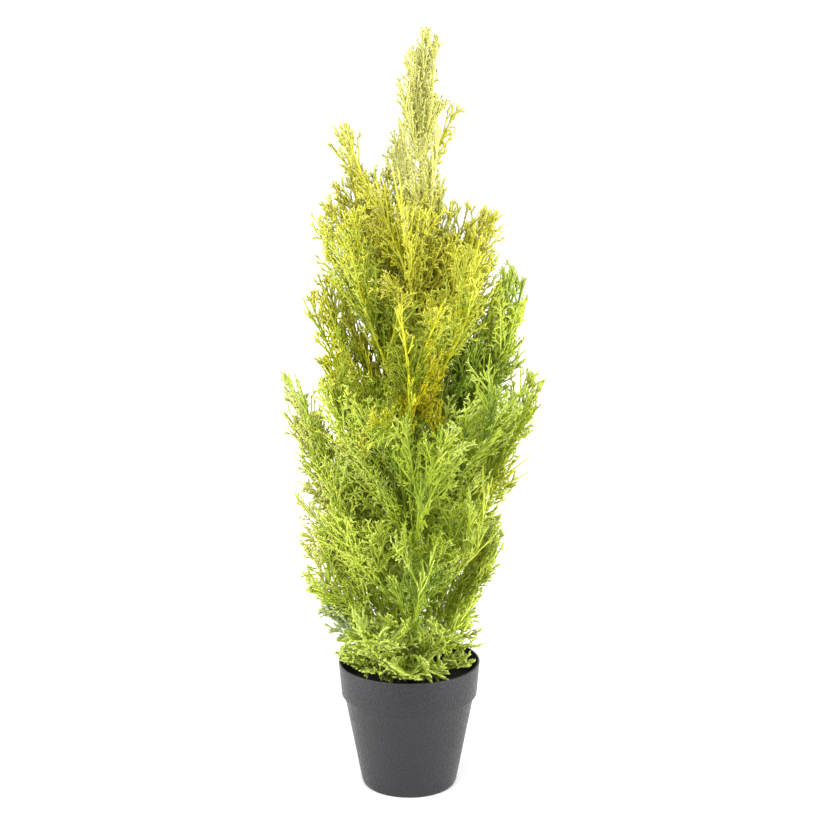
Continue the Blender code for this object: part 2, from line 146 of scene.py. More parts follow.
@dataclass
class Shape:
    """Points and faces of a mesh: its quads and its triangles, as rows of point numbers."""

    points: Array
    quads: Array
    triangles: Array

    @staticmethod
    def tube(rings: Array, poles: Array) -> "Shape":
        """A closed surface through rings of points, ended by one pole at each end.

        Neighbouring rings are joined by quads, and each end ring by triangles to its pole. All faces are
        turned over where the volume under the quads comes out negative, so they always point outwards.

        Args:
            rings: points as an array of (rings, sides, 3).
            poles: the first and the last point, as an array of (2, 3).

        Returns:
            The closed shape.
        """
        count, sides = rings.shape[:2]
        number, quads = ring_walls(count, sides)
        first = np.full(sides, count * sides)
        low = np.stack([first, np.roll(number[0], -1), number[0]], axis=-1)
        high = np.stack([first + 1, number[-1], np.roll(number[-1], -1)], axis=-1)
        triangles = np.concatenate([low, high])
        points = np.concatenate([rings.reshape(-1, 3), poles])
        corners = points[quads]
        volume = np.sum(corners[:, 0] * np.cross(corners[:, 1], corners[:, 2]))
        volume += np.sum(corners[:, 0] * np.cross(corners[:, 2], corners[:, 3]))
        if volume < 0:
            quads, triangles = quads[:, ::-1], triangles[:, ::-1]
        return Shape(points, quads, triangles)

    @staticmethod
    def turned(profile: Array, sides: int) -> "Shape":
        """A shape turned about Z from a profile whose first and last points lie on the axis.

        Args:
            profile: (radius, height) points as an array of (n, 2).
            sides: how many sides the round has.

        Returns:
            The closed shape.
        """
        turn = np.linspace(0, math.tau, sides, endpoint=False)
        poles = np.array([[0, 0, profile[0, 1]], [0, 0, profile[-1, 1]]])
        return Shape.tube(circle(profile[1:-1, :1], profile[1:-1, 1:], turn), poles)

    @staticmethod
    def joined(shapes: list["Shape"]) -> "Shape":
        """Several shapes as one.

        Each shape's point numbers are raised by the count of the points before it.

        Args:
            shapes: the shapes in order.

        Returns:
            The one shape.
        """
        shifts = np.cumsum([0] + [len(shape.points) for shape in shapes[:-1]])
        points = np.concatenate([shape.points for shape in shapes])
        quads = np.concatenate([shape.quads + shift for shape, shift in zip(shapes, shifts)])
        triangles = np.concatenate([shape.triangles + shift for shape, shift in zip(shapes, shifts)])
        return Shape(points, quads, triangles)

    def triangle_count(self) -> int:
        """How many triangles the shape has once its quads are split."""
        return 2 * len(self.quads) + len(self.triangles)

    def piece(self, name: str, finish: "Finish", slot: str, nodes: list[str]) -> bpy.types.Object:
        """Makes the shape a finished piece that stands for nodes of the model.

        Args:
            name: the piece's name.
            finish: what it is dressed in.
            slot: the record's material slot; not used.
            nodes: the nodes that the piece replaces.

        Returns:
            The new object, riding on the plant.
        """
        mesh = bpy.data.meshes.new(name)
        loops = np.concatenate([self.quads.ravel(), self.triangles.ravel()])
        sizes = np.concatenate([np.full(len(self.quads), 4), np.full(len(self.triangles), 3)])
        starts = np.concatenate([[0], np.cumsum(sizes)[:-1]])
        mesh.vertices.add(len(self.points))
        mesh.vertices.foreach_set("co", self.points.astype(np.float32).ravel())
        mesh.loops.add(len(loops))
        mesh.loops.foreach_set("vertex_index", loops.astype(np.int32))
        mesh.polygons.add(len(sizes))
        mesh.polygons.foreach_set("loop_start", starts.astype(np.int32))
        mesh.update(calc_edges=True)
        mesh.shade_smooth()
        mesh.materials.append(finish.material())
        made = put(name, mesh)
        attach(made, BODY)
        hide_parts(*nodes)
        LOG.info("%s: %d triangles in %s", name, self.triangle_count(), finish.name)
        return made


def grain_group() -> bpy.types.NodeTree:
    """The shader group that every finish shares: patches of lighter and darker colour, and a fine grain.

    Patches come from a slow noise and grain from a fast one. The colour is multiplied by one plus
    each strength times its noise, centred on zero. Roughness follows the fast noise.

    Returns:
        The node group, made the first time it is asked for.
    """
    made = bpy.data.node_groups.get("moulded_grain")
    if made:
        return made
    made = bpy.data.node_groups.new("moulded_grain", "ShaderNodeTree")
    sockets = (
        ("INPUT", "NodeSocketVector", ("Position",)),
        ("INPUT", "NodeSocketColor", ("Colour",)),
        ("INPUT", "NodeSocketFloat", ("Patch Scale", "Patch Strength", "Grain Scale", "Grain Strength")),
        ("INPUT", "NodeSocketFloat", ("Roughness", "Roughness Spread")),
        ("OUTPUT", "NodeSocketColor", ("Colour",)),
        ("OUTPUT", "NodeSocketFloat", ("Roughness", "Height")),
    )
    for way, kind, names in sockets:
        for name in names:
            made.interface.new_socket(name, in_out=way, socket_type=kind)
    nodes, link = made.nodes, made.links.new
    given, result = nodes.new("NodeGroupInput"), nodes.new("NodeGroupOutput")

    def noise(scale: str, detail: float) -> Socket:
        """A noise at the group's own place.

        Args:
            scale: the group's input that holds its scale.
            detail: how many finer octaves it has.

        Returns:
            The socket of its value.
        """
        texture = nodes.new("ShaderNodeTexNoise")
        texture.inputs["Detail"].default_value = detail
        link(given.outputs["Position"], texture.inputs["Vector"])
        link(given.outputs[scale], texture.inputs["Scale"])
        return texture.outputs["Fac"]

    def worked(operation: str, *values: Socket | float) -> Socket:
        """The result of one operation on sockets and plain numbers.

        Args:
            operation: what is done to them.
            values: what it is done to, in order.

        Returns:
            The socket of the result.
        """
        node = nodes.new("ShaderNodeMath")
        node.operation = operation
        for entry, value in zip(node.inputs, values):
            if isinstance(value, float):
                entry.default_value = value
            else:
                link(value, entry)
        return node.outputs[0]

    def centred(value: Socket, strength: str, base: float) -> Socket:
        """The value less a half, times one of the group's inputs, plus a base."""
        less = worked("SUBTRACT", value, 0.5)
        return worked("MULTIPLY_ADD", less, given.outputs[strength], base)

    patch, fine = noise("Patch Scale", detail=3.0), noise("Grain Scale", detail=2.0)
    both = worked("MULTIPLY", centred(patch, "Patch Strength", 1.0), centred(fine, "Grain Strength", 1.0))
    shade = nodes.new("ShaderNodeVectorMath")
    shade.operation = "SCALE"
    link(given.outputs["Colour"], shade.inputs["Vector"])
    link(both, shade.inputs["Scale"])
    rough = worked("ADD", given.outputs["Roughness"], centred(fine, "Roughness Spread", 0.0))
    rough.node.use_clamp = True
    link(shade.outputs["Vector"], result.inputs["Colour"])
    link(rough, result.inputs["Roughness"])
    link(fine, result.inputs["Height"])
    return made


@dataclass(frozen=True)
class Finish:
    """One finish: a base colour with patches, and a grain in its colour, roughness and relief.

    Scales count patches or grains along a metre, grain_depth and glow_reach are in metres, and
    glow_colour is how far red, green and blue light go in the material, as shares of that reach.
    """

    name: str
    colour: Triple
    roughness: float = 0.5
    roughness_spread: float = 0.2
    patch_scale: float = 60.0
    patch_strength: float = 0.5
    grain_scale: float = 900.0
    grain_strength: float = 0.2
    grain_depth: float = 0.0001
    bump: float = 0.4
    specular: float = 0.4
    glow_through: float = 0.0
    glow_reach: float = 0.002
    glow_colour: Triple = (1.0, 1.0, 0.5)

    def material(self) -> bpy.types.Material:
        """The material of this finish.

        Returns:
            The material, made the first time it is asked for.
        """
        made = bpy.data.materials.get(self.name)
        if made:
            return made
        made = bpy.data.materials.new(self.name)
        made.use_nodes = True
        nodes, link = made.node_tree.nodes, made.node_tree.links.new
        shader, where = nodes["Principled BSDF"], nodes.new("ShaderNodeTexCoord")
        grain, bump = nodes.new("ShaderNodeGroup"), nodes.new("ShaderNodeBump")
        grain.node_tree = grain_group()
        settings = (
            (grain, "Colour", (*self.colour, 1.0)),
            (grain, "Patch Scale", self.patch_scale),
            (grain, "Patch Strength", self.patch_strength),
            (grain, "Grain Scale", self.grain_scale),
            (grain, "Grain Strength", self.grain_strength),
            (grain, "Roughness", self.roughness),
            (grain, "Roughness Spread", self.roughness_spread),
            (bump, "Distance", self.grain_depth),
            (bump, "Strength", self.bump),
            (shader, "Specular IOR Level", self.specular),
            (shader, "Subsurface Weight", self.glow_through),
            (shader, "Subsurface Radius", self.glow_colour),
            (shader, "Subsurface Scale", self.glow_reach),
        )
        for node, name, value in settings:
            node.inputs[name].default_value = value
        ways = (
            (where, "Object", grain, "Position"),
            (grain, "Colour", shader, "Base Color"),
            (grain, "Roughness", shader, "Roughness"),
            (grain, "Height", bump, "Height"),
            (bump, "Normal", shader, "Normal"),
        )
        for source, given, target, taken in ways:
            link(source.outputs[given], target.inputs[taken])
        return made


def leaf(name: str, red: float, green: float, blue: float) -> Finish:
    """Soft moulded foliage plastic of one plain tint."""
    return Finish(
        name, (red, green, blue), roughness=0.5, roughness_spread=0.15, patch_scale=90.0,
        patch_strength=0.45, grain_scale=700.0, grain_strength=0.1, grain_depth=0.0001, bump=0.35,
        specular=0.25, glow_through=0.6
    )


class Tint(Enum):
    """The plain tints of the foliage."""

    PALE = leaf("leaf_pale", 0.60, 0.60, 0.170)
    LEMON = leaf("leaf_lemon", 0.57, 0.56, 0.140)
    GOLD = leaf("leaf_gold", 0.58, 0.57, 0.050)
    AMBER = leaf("leaf_amber", 0.58, 0.52, 0.010)
    STRAW = leaf("leaf_straw", 0.53, 0.56, 0.120)
    MINT = leaf("leaf_mint", 0.56, 0.67, 0.075)
    LIME = leaf("leaf_lime", 0.47, 0.55, 0.052)
    SPRING = leaf("leaf_spring", 0.44, 0.54, 0.088)
    SAGE = leaf("leaf_sage", 0.46, 0.54, 0.240)
    OLIVE = leaf("leaf_olive", 0.46, 0.475, 0.012)
    GRASS = leaf("leaf_grass", 0.305, 0.40, 0.025)
    MOSS = leaf("leaf_moss", 0.22, 0.27, 0.010)
    FERN = leaf("leaf_fern", 0.215, 0.31, 0.025)
    PINE = leaf("leaf_pine", 0.12, 0.205, 0.025)


class Palette(Enum):
    """How a frond is coloured: the tint of its ribs, then of its inner, middle and outermost twigs. The
    darker inner tints are partly the plant's own deeper green and partly painted shade inside the crown;
    the lighter outermost tints are painted light at the tips.
    """

    # Inner tints darker, outer lighter: partly own colour, partly painted shade inside the crown and
    # painted light at the tips
    LEADER = (Tint.LEMON, Tint.LEMON, Tint.PALE, Tint.PALE)
    SUNNY = (Tint.GOLD, Tint.OLIVE, Tint.GOLD, Tint.LEMON)
    AMBER = (Tint.AMBER, Tint.GRASS, Tint.OLIVE, Tint.GOLD)
    AUTUMN = (Tint.GRASS, Tint.GRASS, Tint.GOLD, Tint.LIME)
    YOUNG = (Tint.OLIVE, Tint.OLIVE, Tint.LIME, Tint.GOLD)
    MIXED = (Tint.GRASS, Tint.FERN, Tint.OLIVE, Tint.GOLD)
    FRESH = (Tint.GRASS, Tint.GRASS, Tint.LIME, Tint.SPRING)
    DEEP = (Tint.PINE, Tint.GRASS, Tint.GRASS, Tint.SPRING)
    FOOT = (Tint.GRASS, Tint.GRASS, Tint.SPRING, Tint.SPRING)


@dataclass(frozen=True)
class Accent:
    """A part of the crown, by its middle and size, where most side branches have one tint."""

    place: Triple
    size: float
    tint: Tint


# The coloured parts of the crown, each laid over those before it
ACCENTS = (
    Accent((-0.100, 0.000, 0.270), 0.050, Tint.STRAW),
    Accent((-0.105, 0.000, 0.370), 0.035, Tint.STRAW),
    Accent((0.000, -0.085, 0.340), 0.050, Tint.GRASS),
    Accent((-0.008, -0.070, 0.338), 0.034, Tint.FERN),
    Accent((-0.020, -0.050, 0.438), 0.032, Tint.MOSS),
    Accent((-0.050, -0.060, 0.392), 0.034, Tint.MINT),
    Accent((-0.048, -0.040, 0.468), 0.034, Tint.MOSS),
    Accent((-0.025, -0.075, 0.440), 0.048, Tint.MOSS),
    Accent((-0.048, -0.060, 0.252), 0.042, Tint.MINT),
    Accent((0.020, -0.045, 0.522), 0.040, Tint.GOLD),
    Accent((0.094, 0.000, 0.465), 0.032, Tint.MINT),
    Accent((0.010, -0.060, 0.345), 0.030, Tint.GRASS),
    Accent((0.054, -0.050, 0.205), 0.030, Tint.MINT),
    Accent((-0.018, -0.060, 0.207), 0.024, Tint.MINT),
    Accent((0.012, -0.060, 0.270), 0.036, Tint.GRASS),
    Accent((0.016, -0.060, 0.215), 0.032, Tint.FERN),
    Accent((0.057, -0.030, 0.410), 0.030, Tint.FERN),
    Accent((0.025, -0.050, 0.404), 0.030, Tint.AMBER),
    Accent((-0.075, -0.030, 0.388), 0.018, Tint.AMBER),
    Accent((-0.078, -0.010, 0.171), 0.024, Tint.SAGE),
)


class Kind(Enum):
    """What is joined into one piece: ribs and side branches, or the leafy twigs on them."""

    RIBS = "ribs"
    SPRAYS = "sprays"


@dataclass(frozen=True)
class Bar:
    """How one kind of strand is made solid: its rings and sides, half-widths and flatness."""

    rings: int
    sides: int
    root: float
    tip: float
    flatness: float


@dataclass
class Strands:
    """Many curved strands held as arrays, one row each.

    A strand's centre line is start + run * v + curl * v squared, for v from 0 at its root to 1 at its tip.
    normal stands off the flat side of the fan that the strand lies in. depth runs from 0 inside the crown
    to 1 at its outermost tips, and breadth is a factor on the strand's thickness. accent is the number
    of the coloured part of the crown that it lies in, from 1, or 0 outside them all.
    """

    start: Array
    run: Array
    curl: Array
    normal: Array
    depth: Array
    breadth: Array
    accent: Array

    @staticmethod
    def single(start: Array, run: Array, curl: Array, normal: Array) -> "Strands":
        """One strand alone, at depth 0, of plain breadth and without an accent."""
        plain = (np.zeros(1), np.ones(1), np.zeros(1, dtype=int))
        return Strands(start[None], run[None], curl[None], normal[None], *plain)

    @staticmethod
    def joined(parts: list["Strands"]) -> "Strands":
        """Several sets of strands as one."""
        names = [item.name for item in fields(Strands)]
        return Strands(*(np.concatenate([getattr(part, name) for part in parts]) for name in names))

    def at(self, v: Array) -> Array:
        """Points of the centre lines, for an array of shares that has one row for each strand."""
        v = v[..., None]
        return self.start[:, None] + self.run[:, None] * v + self.curl[:, None] * v * v

    def place(self, share: float) -> tuple[Array, Array]:
        """A point of the first strand and the unit heading there."""
        point = self.start[0] + self.run[0] * share + self.curl[0] * share * share
        return point, unit(self.run[0] + 2 * self.curl[0] * share)

    def length(self) -> Array:
        """The straight distances from root to tip."""
        return np.linalg.norm(self.run + self.curl, axis=-1)

    def only(self, keep: Array) -> "Strands":
        """The strands that a mask or a list of rows keeps."""
        return Strands(*(getattr(self, item.name)[keep] for item in fields(self)))

    def stretch(self, low: float, high: float = 1.0) -> "Strands":
        """The stretch of each strand between two shares of its line.

        With v = low + (high - low) * w, the same parabola is written again in w.

        Args:
            low: where the stretch starts.
            high: where it ends, which may lie beyond the tip.

        Returns:
            The stretches as strands of their own.
        """
        part = high - low
        start = self.start + self.run * low + self.curl * low**2
        run = (self.run + 2 * low * self.curl) * part
        return replace(self, start=start, run=run, curl=self.curl * part**2)

    def branch(
        self,
        owner: Array,
        v: Array,
        hand: Array,
        angle: Array,
        length: Array,
        bend: Array,
        lift: Array,
        depth: Array,
    ) -> "Strands":
        """Strands that leave these ones in the plane of the fan.

        A child's heading is its owner's heading turned by the angle to one hand, and lifted a little out
        of the fan. It curls back towards the owner's heading by bend times its own length.

        Args:
            owner: for each child, the row of the strand that it leaves.
            v: where on its owner it leaves.
            hand: 1 or -1.
            angle: the angle to the owner, in radians.
            length: the child's length.
            bend: how far it curls forward, as a share of its length.
            lift: how far its heading rises out of the fan, as a slope.
            depth: how far out in the crown it is.

        Returns:
            The children.
        """
        v, hand, angle = v[:, None], hand[:, None], angle[:, None]
        root = self.start[owner] + self.run[owner] * v + self.curl[owner] * v * v
        along = unit(self.run[owner] + 2 * self.curl[owner] * v)
        flat = square_to(self.normal[owner], along)
        across = np.cross(flat, along) * hand
        heading = unit(along * np.cos(angle) + across * np.sin(angle) + flat * lift[:, None])
        inward = along - heading * dot(along, heading)
        run = heading * length[:, None]
        curl = inward * (bend * length)[:, None]
        normal = square_to(flat, heading)
        return Strands(root, run, curl, normal, depth, self.breadth[owner], self.accent[owner])

    def swept(self, bar: Bar, relief: Array | float = 1.0) -> Shape:
        """Bars along the strands: a flattened round, carried along each line and closed at both ends.

        A ring's points are the line's point plus the half-width times (cos a across the fan and
        flatness times sin a off it), for even angles a that start on the fan's upper side. The caps are
        fans of triangles.

        Args:
            bar: how the bars are made.
            relief: factors on the half-width, one for each ring.

        Returns:
            All the bars as one shape.
        """
        count = len(self.start)
        v = np.linspace(0, 1, bar.rings)
        lines = self.at(np.broadcast_to(v, (count, bar.rings)))
        along = unit(self.run[:, None] + 2 * self.curl[:, None] * v[:, None])
        flat = square_to(np.broadcast_to(self.normal[:, None], along.shape), along)
        across = np.cross(along, flat)
        half = (bar.root + (bar.tip - bar.root) * v) * relief * self.breadth[:, None]
        turn = (math.pi / 2 + np.linspace(0, math.tau, bar.sides, endpoint=False))[:, None]
        section = across[:, :, None] * np.cos(turn) + flat[:, :, None] * (bar.flatness * np.sin(turn))
        points = lines[:, :, None] + section * half[:, :, None, None]
        number, walls = ring_walls(bar.rings, bar.sides)
        step = np.arange(1, bar.sides - 1)
        cap = np.stack([0 * step, step, step + 1], axis=-1)
        caps = np.concatenate([number[0][cap[:, ::-1]], number[-1][cap]])
        shifts = np.arange(count)[:, None, None] * number.size
        return Shape(points.reshape(-1, 3), (walls + shifts).reshape(-1, 4), (caps + shifts).reshape(-1, 3))


@dataclass(frozen=True)
class Pot:
    """The pot: a tapered body under a straighter collar, a thin rolled rim, and a foot ring below.

    The arcs of the section are each given by a first and a last angle in degrees and a count of points.
    The body's straight side ends at body_end times the foot's rounding above the ground.
    """

    height: float = 0.129
    rim_radius: float = 0.0707
    collar_depth: float = 0.0345
    collar_foot: float = 0.0679
    collar_bevel: float = 0.0022
    body_top: float = 0.0652
    body_end: float = 1.6
    foot_radius: float = 0.0470
    foot_round: float = 0.0030
    wall: float = 0.0020
    floor: float = 0.0030
    ring_width: float = 0.0100
    recess: float = 0.0012
    rim_arc: tuple[int, int, int] = (180, 0, 9)
    lip_arc: tuple[int, int, int] = (0, -80, 5)
    heel_arc: tuple[int, int, int] = (-10, -90, 6)
    inside_steps: int = 7
    body_steps: int = 8
    sides: int = 160
    finish: Finish = Finish(
        "pot_grey", (0.0075, 0.0070, 0.0100), roughness=0.36, roughness_spread=0.8, patch_scale=25.0,
        patch_strength=0.2, grain_scale=480.0, grain_strength=2.4, grain_depth=0.0012, bump=1.0,
        specular=0.46
    )

    def line(self) -> float:
        """Height of the line between the body and the collar."""
        return self.height - self.collar_depth

    def body(self, height: Array | float) -> Array | float:
        """Outer radius of the tapered body at a height."""
        return self.foot_radius + (self.body_top - self.foot_radius) * height / self.line()

    def inside(self, height: float) -> float:
        """Radius of the inside at a height on the body or the collar, both of which are straight.

        Args:
            height: height over the ground.

        Returns:
            The outer radius less the wall.
        """
        if height <= self.line():
            return self.body(height) - self.wall
        rise = (height - self.line()) / self.collar_depth
        return self.collar_foot + (self.rim_radius - self.collar_foot) * rise - self.wall

    @staticmethod
    def arc(sweep: tuple[int, int, int], radius: float, middle: Pair) -> Array:
        """Points of an arc of the section: its middle plus the radius times cosine and sine."""
        turn = np.radians(np.linspace(*sweep))
        return np.stack([np.cos(turn), np.sin(turn)], axis=-1) * radius + middle

    def profile(self) -> Array:
        """The pot's section from the inside of its floor, over the rim, and down to its underside.

        The rim is a half circle of the wall's thickness. The collar's foot and the body's foot are rounded
        with arcs, and the underside is hollowed a little inside a foot ring.

        Returns:
            (radius, height) points as an array of (n, 2).
        """
        line, half = self.line(), self.wall / 2
        bevel = line + self.collar_bevel
        rim = self.arc(self.rim_arc, half, (self.rim_radius - half, self.height - half))
        lip = self.arc(self.lip_arc, half, (self.collar_foot - half, line + half))
        round_middle = (self.foot_radius - self.foot_round, self.foot_round)
        heel = self.arc(self.heel_arc, self.foot_round, round_middle)
        ring = self.foot_radius - self.foot_round - self.ring_width
        heights = np.linspace(self.floor, line, self.inside_steps)
        down = np.linspace(line - half, self.foot_round * self.body_end, self.body_steps)
        body = np.stack([self.body(down), down], axis=-1)
        under = [(ring, 0.0), (ring - self.recess, self.recess), (0.0, self.recess)]
        inner = [(0.0, self.floor), *((self.inside(height), height) for height in (*heights, bevel))]
        return np.concatenate([inner, rim, lip, body, heel, under])

    def build(self) -> bpy.types.Object:
        """Turns the section into the pot that shows."""
        shape = Shape.turned(self.profile(), self.sides)
        return shape.piece("pot_shell", self.finish, "pot_plastic", ["pot"])


@dataclass(frozen=True)
class Filling:
    """The black filling: a plug in the pot whose top is rough and a little uneven.

    swell and grit are the heights of a slow and a fine relief, each with its length of wave, and
    relief is a factor on both. The higher fade is, the nearer to the wall they die away.
    """

    pot: Pot
    top: float = 0.1070
    clear: float = 0.0008
    swell: float = 0.0016
    swell_wave: float = 0.03
    grit: float = 0.0007
    grit_wave: float = 0.0035
    grit_count: int = 48
    relief: float = 0.5
    fade: int = 8
    rings: int = 60
    sides: int = 200
    finish: Finish = Finish(
        "filling_black", (0.012, 0.012, 0.013), roughness=0.85, roughness_spread=0.2, patch_scale=60.0,
        patch_strength=0.8, grain_scale=500.0, grain_strength=0.6, grain_depth=0.0008, bump=0.8,
        specular=0.3
    )

    def build(self) -> bpy.types.Object:
        """Makes the plug.

        The top is rings that widen evenly. Their height is the plug's top plus a slow swell and a fine
        grit, both fading to nothing at the pot's wall. The side then follows the pot down to its floor.

        Returns:
            The finished piece.
        """
        turn = np.linspace(0, math.tau, self.sides, endpoint=False)
        share = np.linspace(0, 1, self.rings + 1)[1:, None]
        top = circle(share * (self.pot.inside(self.top) - self.clear), 0.0, turn)
        rise = self.swell * waves(top, self.swell_wave, SEED)
        rise = rise + self.grit * waves(top, self.grit_wave, GRIT_SEED, self.grit_count)
        top[..., 2] = self.top - self.grit + rise * (1 - share**self.fade) * self.relief
        line, bevel, foot = self.pot.line(), self.pot.collar_bevel, self.pot.floor + self.clear
        heights = (line + bevel, line - bevel, foot)
        side = [circle(self.pot.inside(height) - self.clear, height, turn) for height in heights]
        poles = np.array([[0, 0, self.top - self.grit], [0, 0, foot]])
        shape = Shape.tube(np.concatenate([top, side]), poles)
        return shape.piece("filling_top", self.finish, "filling", ["filling"])


@dataclass(frozen=True)
class Trunk:
    """The slim stem: upright at its foot, leaning a little to +X above, and wrapped in a bark-brown tape.

    tape_step is how far each wrap of the tape stands off the one below, and tape_middle the share of that
    step that lies inside the plain radius. bark and bark_wave are the height and length of the relief.
    """

    foot: float = 0.1073
    top: float = 0.612
    foot_radius: float = 0.0038
    tip_radius: float = 0.0017
    lean: float = 0.0125
    bow: float = 1.2
    fill_top: float = Filling.top
    steps: int = 10
    tape_pitch: float = 0.0085
    tape_step: float = 0.00035
    tape_middle: float = 0.6
    bark: float = 0.00015
    bark_wave: float = 0.004
    bark_count: int = 40
    rings: int = 460
    sides: int = 20
    finish: Finish = Finish(
        "stem_bark", (0.13, 0.09, 0.05), roughness=0.75, roughness_spread=0.2, patch_scale=45.0,
        patch_strength=1.6, grain_scale=600.0, grain_strength=0.5, grain_depth=0.0004, bump=0.8,
        specular=0.3
    )

    def centre(self, height: Array) -> Array:
        """Centre of the stem at each height: upright for the first step, then a power curve to +X.

        Args:
            height: heights as an array.

        Returns:
            Points, with one more axis for X, Y and Z.
        """
        upright = self.fill_top + (self.top - self.fill_top) / self.steps
        share = np.maximum(height - upright, 0.0) / (self.top - upright)
        return np.stack([self.lean * share**self.bow, 0 * height, height], axis=-1)

    def radius(self, height: Array) -> Array:
        """Radius of the stem at each height, an even taper."""
        share = (height - self.fill_top) / (self.top - self.fill_top)
        return self.foot_radius + (self.tip_radius - self.foot_radius) * share

    def build(self) -> bpy.types.Object:
        """Makes the stem.

        Its radius is the taper plus a saw-tooth that climbs one tape width a turn, where each wrap laps the
        one below, and plus a fine random relief for the bark.

        Returns:
            The finished piece.
        """
        height = np.linspace(self.foot, self.top, self.rings)[:, None]
        turn = np.linspace(0, math.tau, self.sides, endpoint=False)[None]
        lap = (height / self.tape_pitch + turn / math.tau) % 1.0
        way = circle(1.0, 0 * height, turn)
        centre = self.centre(height[:, 0])[:, None]
        rough = waves(centre + way * self.foot_radius, self.bark_wave, BARK_SEED, self.bark_count)
        radius = self.radius(height) + self.tape_step * (lap - self.tape_middle) + self.bark * rough
        poles = self.centre(np.array([self.foot, self.top]))
        shape = Shape.tube(centre + way * radius[..., None], poles)
        return shape.piece("stem_wrapped", self.finish, "trunk_bark", ["trunk"])


@dataclass(frozen=True)
class Growth:
    """How a spray branches: the pitch, length and angle of each level, and a factor on all thickness.

    finger_length is a factor on the side branches' length, and lift is how far they stray out of the
    plane of the fan, as a slope.
    """

    finger_pitch: float
    finger_length: float
    finger_angle: float
    branchlet_pitch: float
    branchlet_length: float
    branchlet_angle: float
    fork_places: tuple[float, ...]
    fork_length: float
    fork_angle: float
    breadth: float
    lift: float


class Habit(Enum):
    """The kinds of frond: wiry ones, slender ones at the top, and broader, lobed ones over the pot."""

    WIRY = Growth(
        finger_pitch=0.0145, finger_length=1.0, finger_angle=math.radians(22),
        branchlet_pitch=0.0066, branchlet_length=0.0150, branchlet_angle=math.radians(33),
        fork_places=(0.42, 0.72), fork_length=0.0068, fork_angle=math.radians(33), breadth=1.06, lift=0.12
    )
    SLENDER = Growth(
        finger_pitch=0.0120, finger_length=1.7, finger_angle=math.radians(15),
        branchlet_pitch=0.0062, branchlet_length=0.0085, branchlet_angle=math.radians(32),
        fork_places=(0.55,), fork_length=0.0048, fork_angle=math.radians(32), breadth=0.98, lift=0.05
    )
    LOBED = Growth(
        finger_pitch=0.0125, finger_length=1.0, finger_angle=math.radians(42),
        branchlet_pitch=0.0062, branchlet_length=0.0125, branchlet_angle=math.radians(38),
        fork_places=(0.50,), fork_length=0.0066, fork_angle=math.radians(36), breadth=1.95, lift=0.03
    )


@dataclass(frozen=True)
class Whorl:
    """A ring of fronds that leave the trunk at one height.

    foot is the height on the trunk, and tips are the heights of the frond tips in order round it.
    start is the first frond's azimuth from +X and roll turns each fan about its rib, both in degrees.
    side is the length of a side spray, and width widens or narrows the end spray. palettes holds one
    palette for each frond. rise is how much of an inner spray's heading is straight up, sway how much
    it strays round the trunk, and drift where that straying is centred.
    """

    name: str
    foot: float
    tips: tuple[float, ...]
    start: float
    roll: float
    side: float
    width: float
    slot: str
    palettes: tuple[Palette, ...]
    habit: Habit = Habit.WIRY
    rise: Pair = (0.45, 0.90)
    sway: float = 0.22
    drift: float = 0.0


def whorls() -> tuple[Whorl, ...]:
    """The whorls from the pot up to the crown, with the palettes of their fronds in order.

    Returns:
        The whorls.
    """
    foot, fresh, young = Palette.FOOT, Palette.FRESH, Palette.YOUNG
    mixed, autumn, deep = Palette.MIXED, Palette.AUTUMN, Palette.DEEP
    amber, sunny, leader = Palette.AMBER, Palette.SUNNY, Palette.LEADER
    return (
        Whorl("skirt", 0.121, (0.128, 0.130, 0.127, 0.129, 0.131), 200, 0, 0.034, 1.15, "foot_green",
              (foot, foot, foot, foot, foot), Habit.LOBED, rise=(0.0, 0.45), sway=0.8),
        Whorl("foot", 0.130, (0.166, 0.180, 0.188, 0.172, 0.184), 240, 12, 0.058, 1.15, "foot_green",
              (foot, foot, fresh, foot, foot), Habit.LOBED, rise=(0.1, 0.6), sway=0.3),
        Whorl("low", 0.152, (0.232, 0.250, 0.236, 0.244), 188, 78, 0.072, 1.0, "fresh_green",
              (fresh, foot, fresh, fresh)),
        Whorl("lower", 0.186, (0.302, 0.282, 0.312, 0.290), 224, 12, 0.080, 1.0, "fresh_green",
              (fresh, fresh, young, young)),
        Whorl("middle", 0.228, (0.376, 0.348, 0.384, 0.356), 184, 78, 0.086, 1.0, "fresh_green",
              (fresh, fresh, fresh, young)),
        Whorl("upper", 0.278, (0.428, 0.408, 0.440, 0.416), 222, 12, 0.088, 1.0, "deep_green",
              (autumn, deep, deep, young)),
        Whorl("high", 0.332, (0.496, 0.470, 0.488, 0.474), 182, 78, 0.084, 1.0, "yellow_green",
              (mixed, amber, deep, young)),
        Whorl("higher", 0.394, (0.560, 0.532, 0.548, 0.538), 218, 12, 0.078, 1.0, "yellow_green",
              (young, young, young, sunny)),
        Whorl("shoulder", 0.458, (0.612, 0.596, 0.586, 0.582), 166, 78, 0.064, 0.9, "gold_green",
              (sunny, sunny, sunny, young), rise=(0.6, 0.95)),
        Whorl("crown", 0.528, (0.664, 0.690, 0.680, 0.672), 196, 60, 0.050, 0.8, "gold_green",
              (sunny, leader, sunny, leader), rise=(0.6, 0.95)),
    )


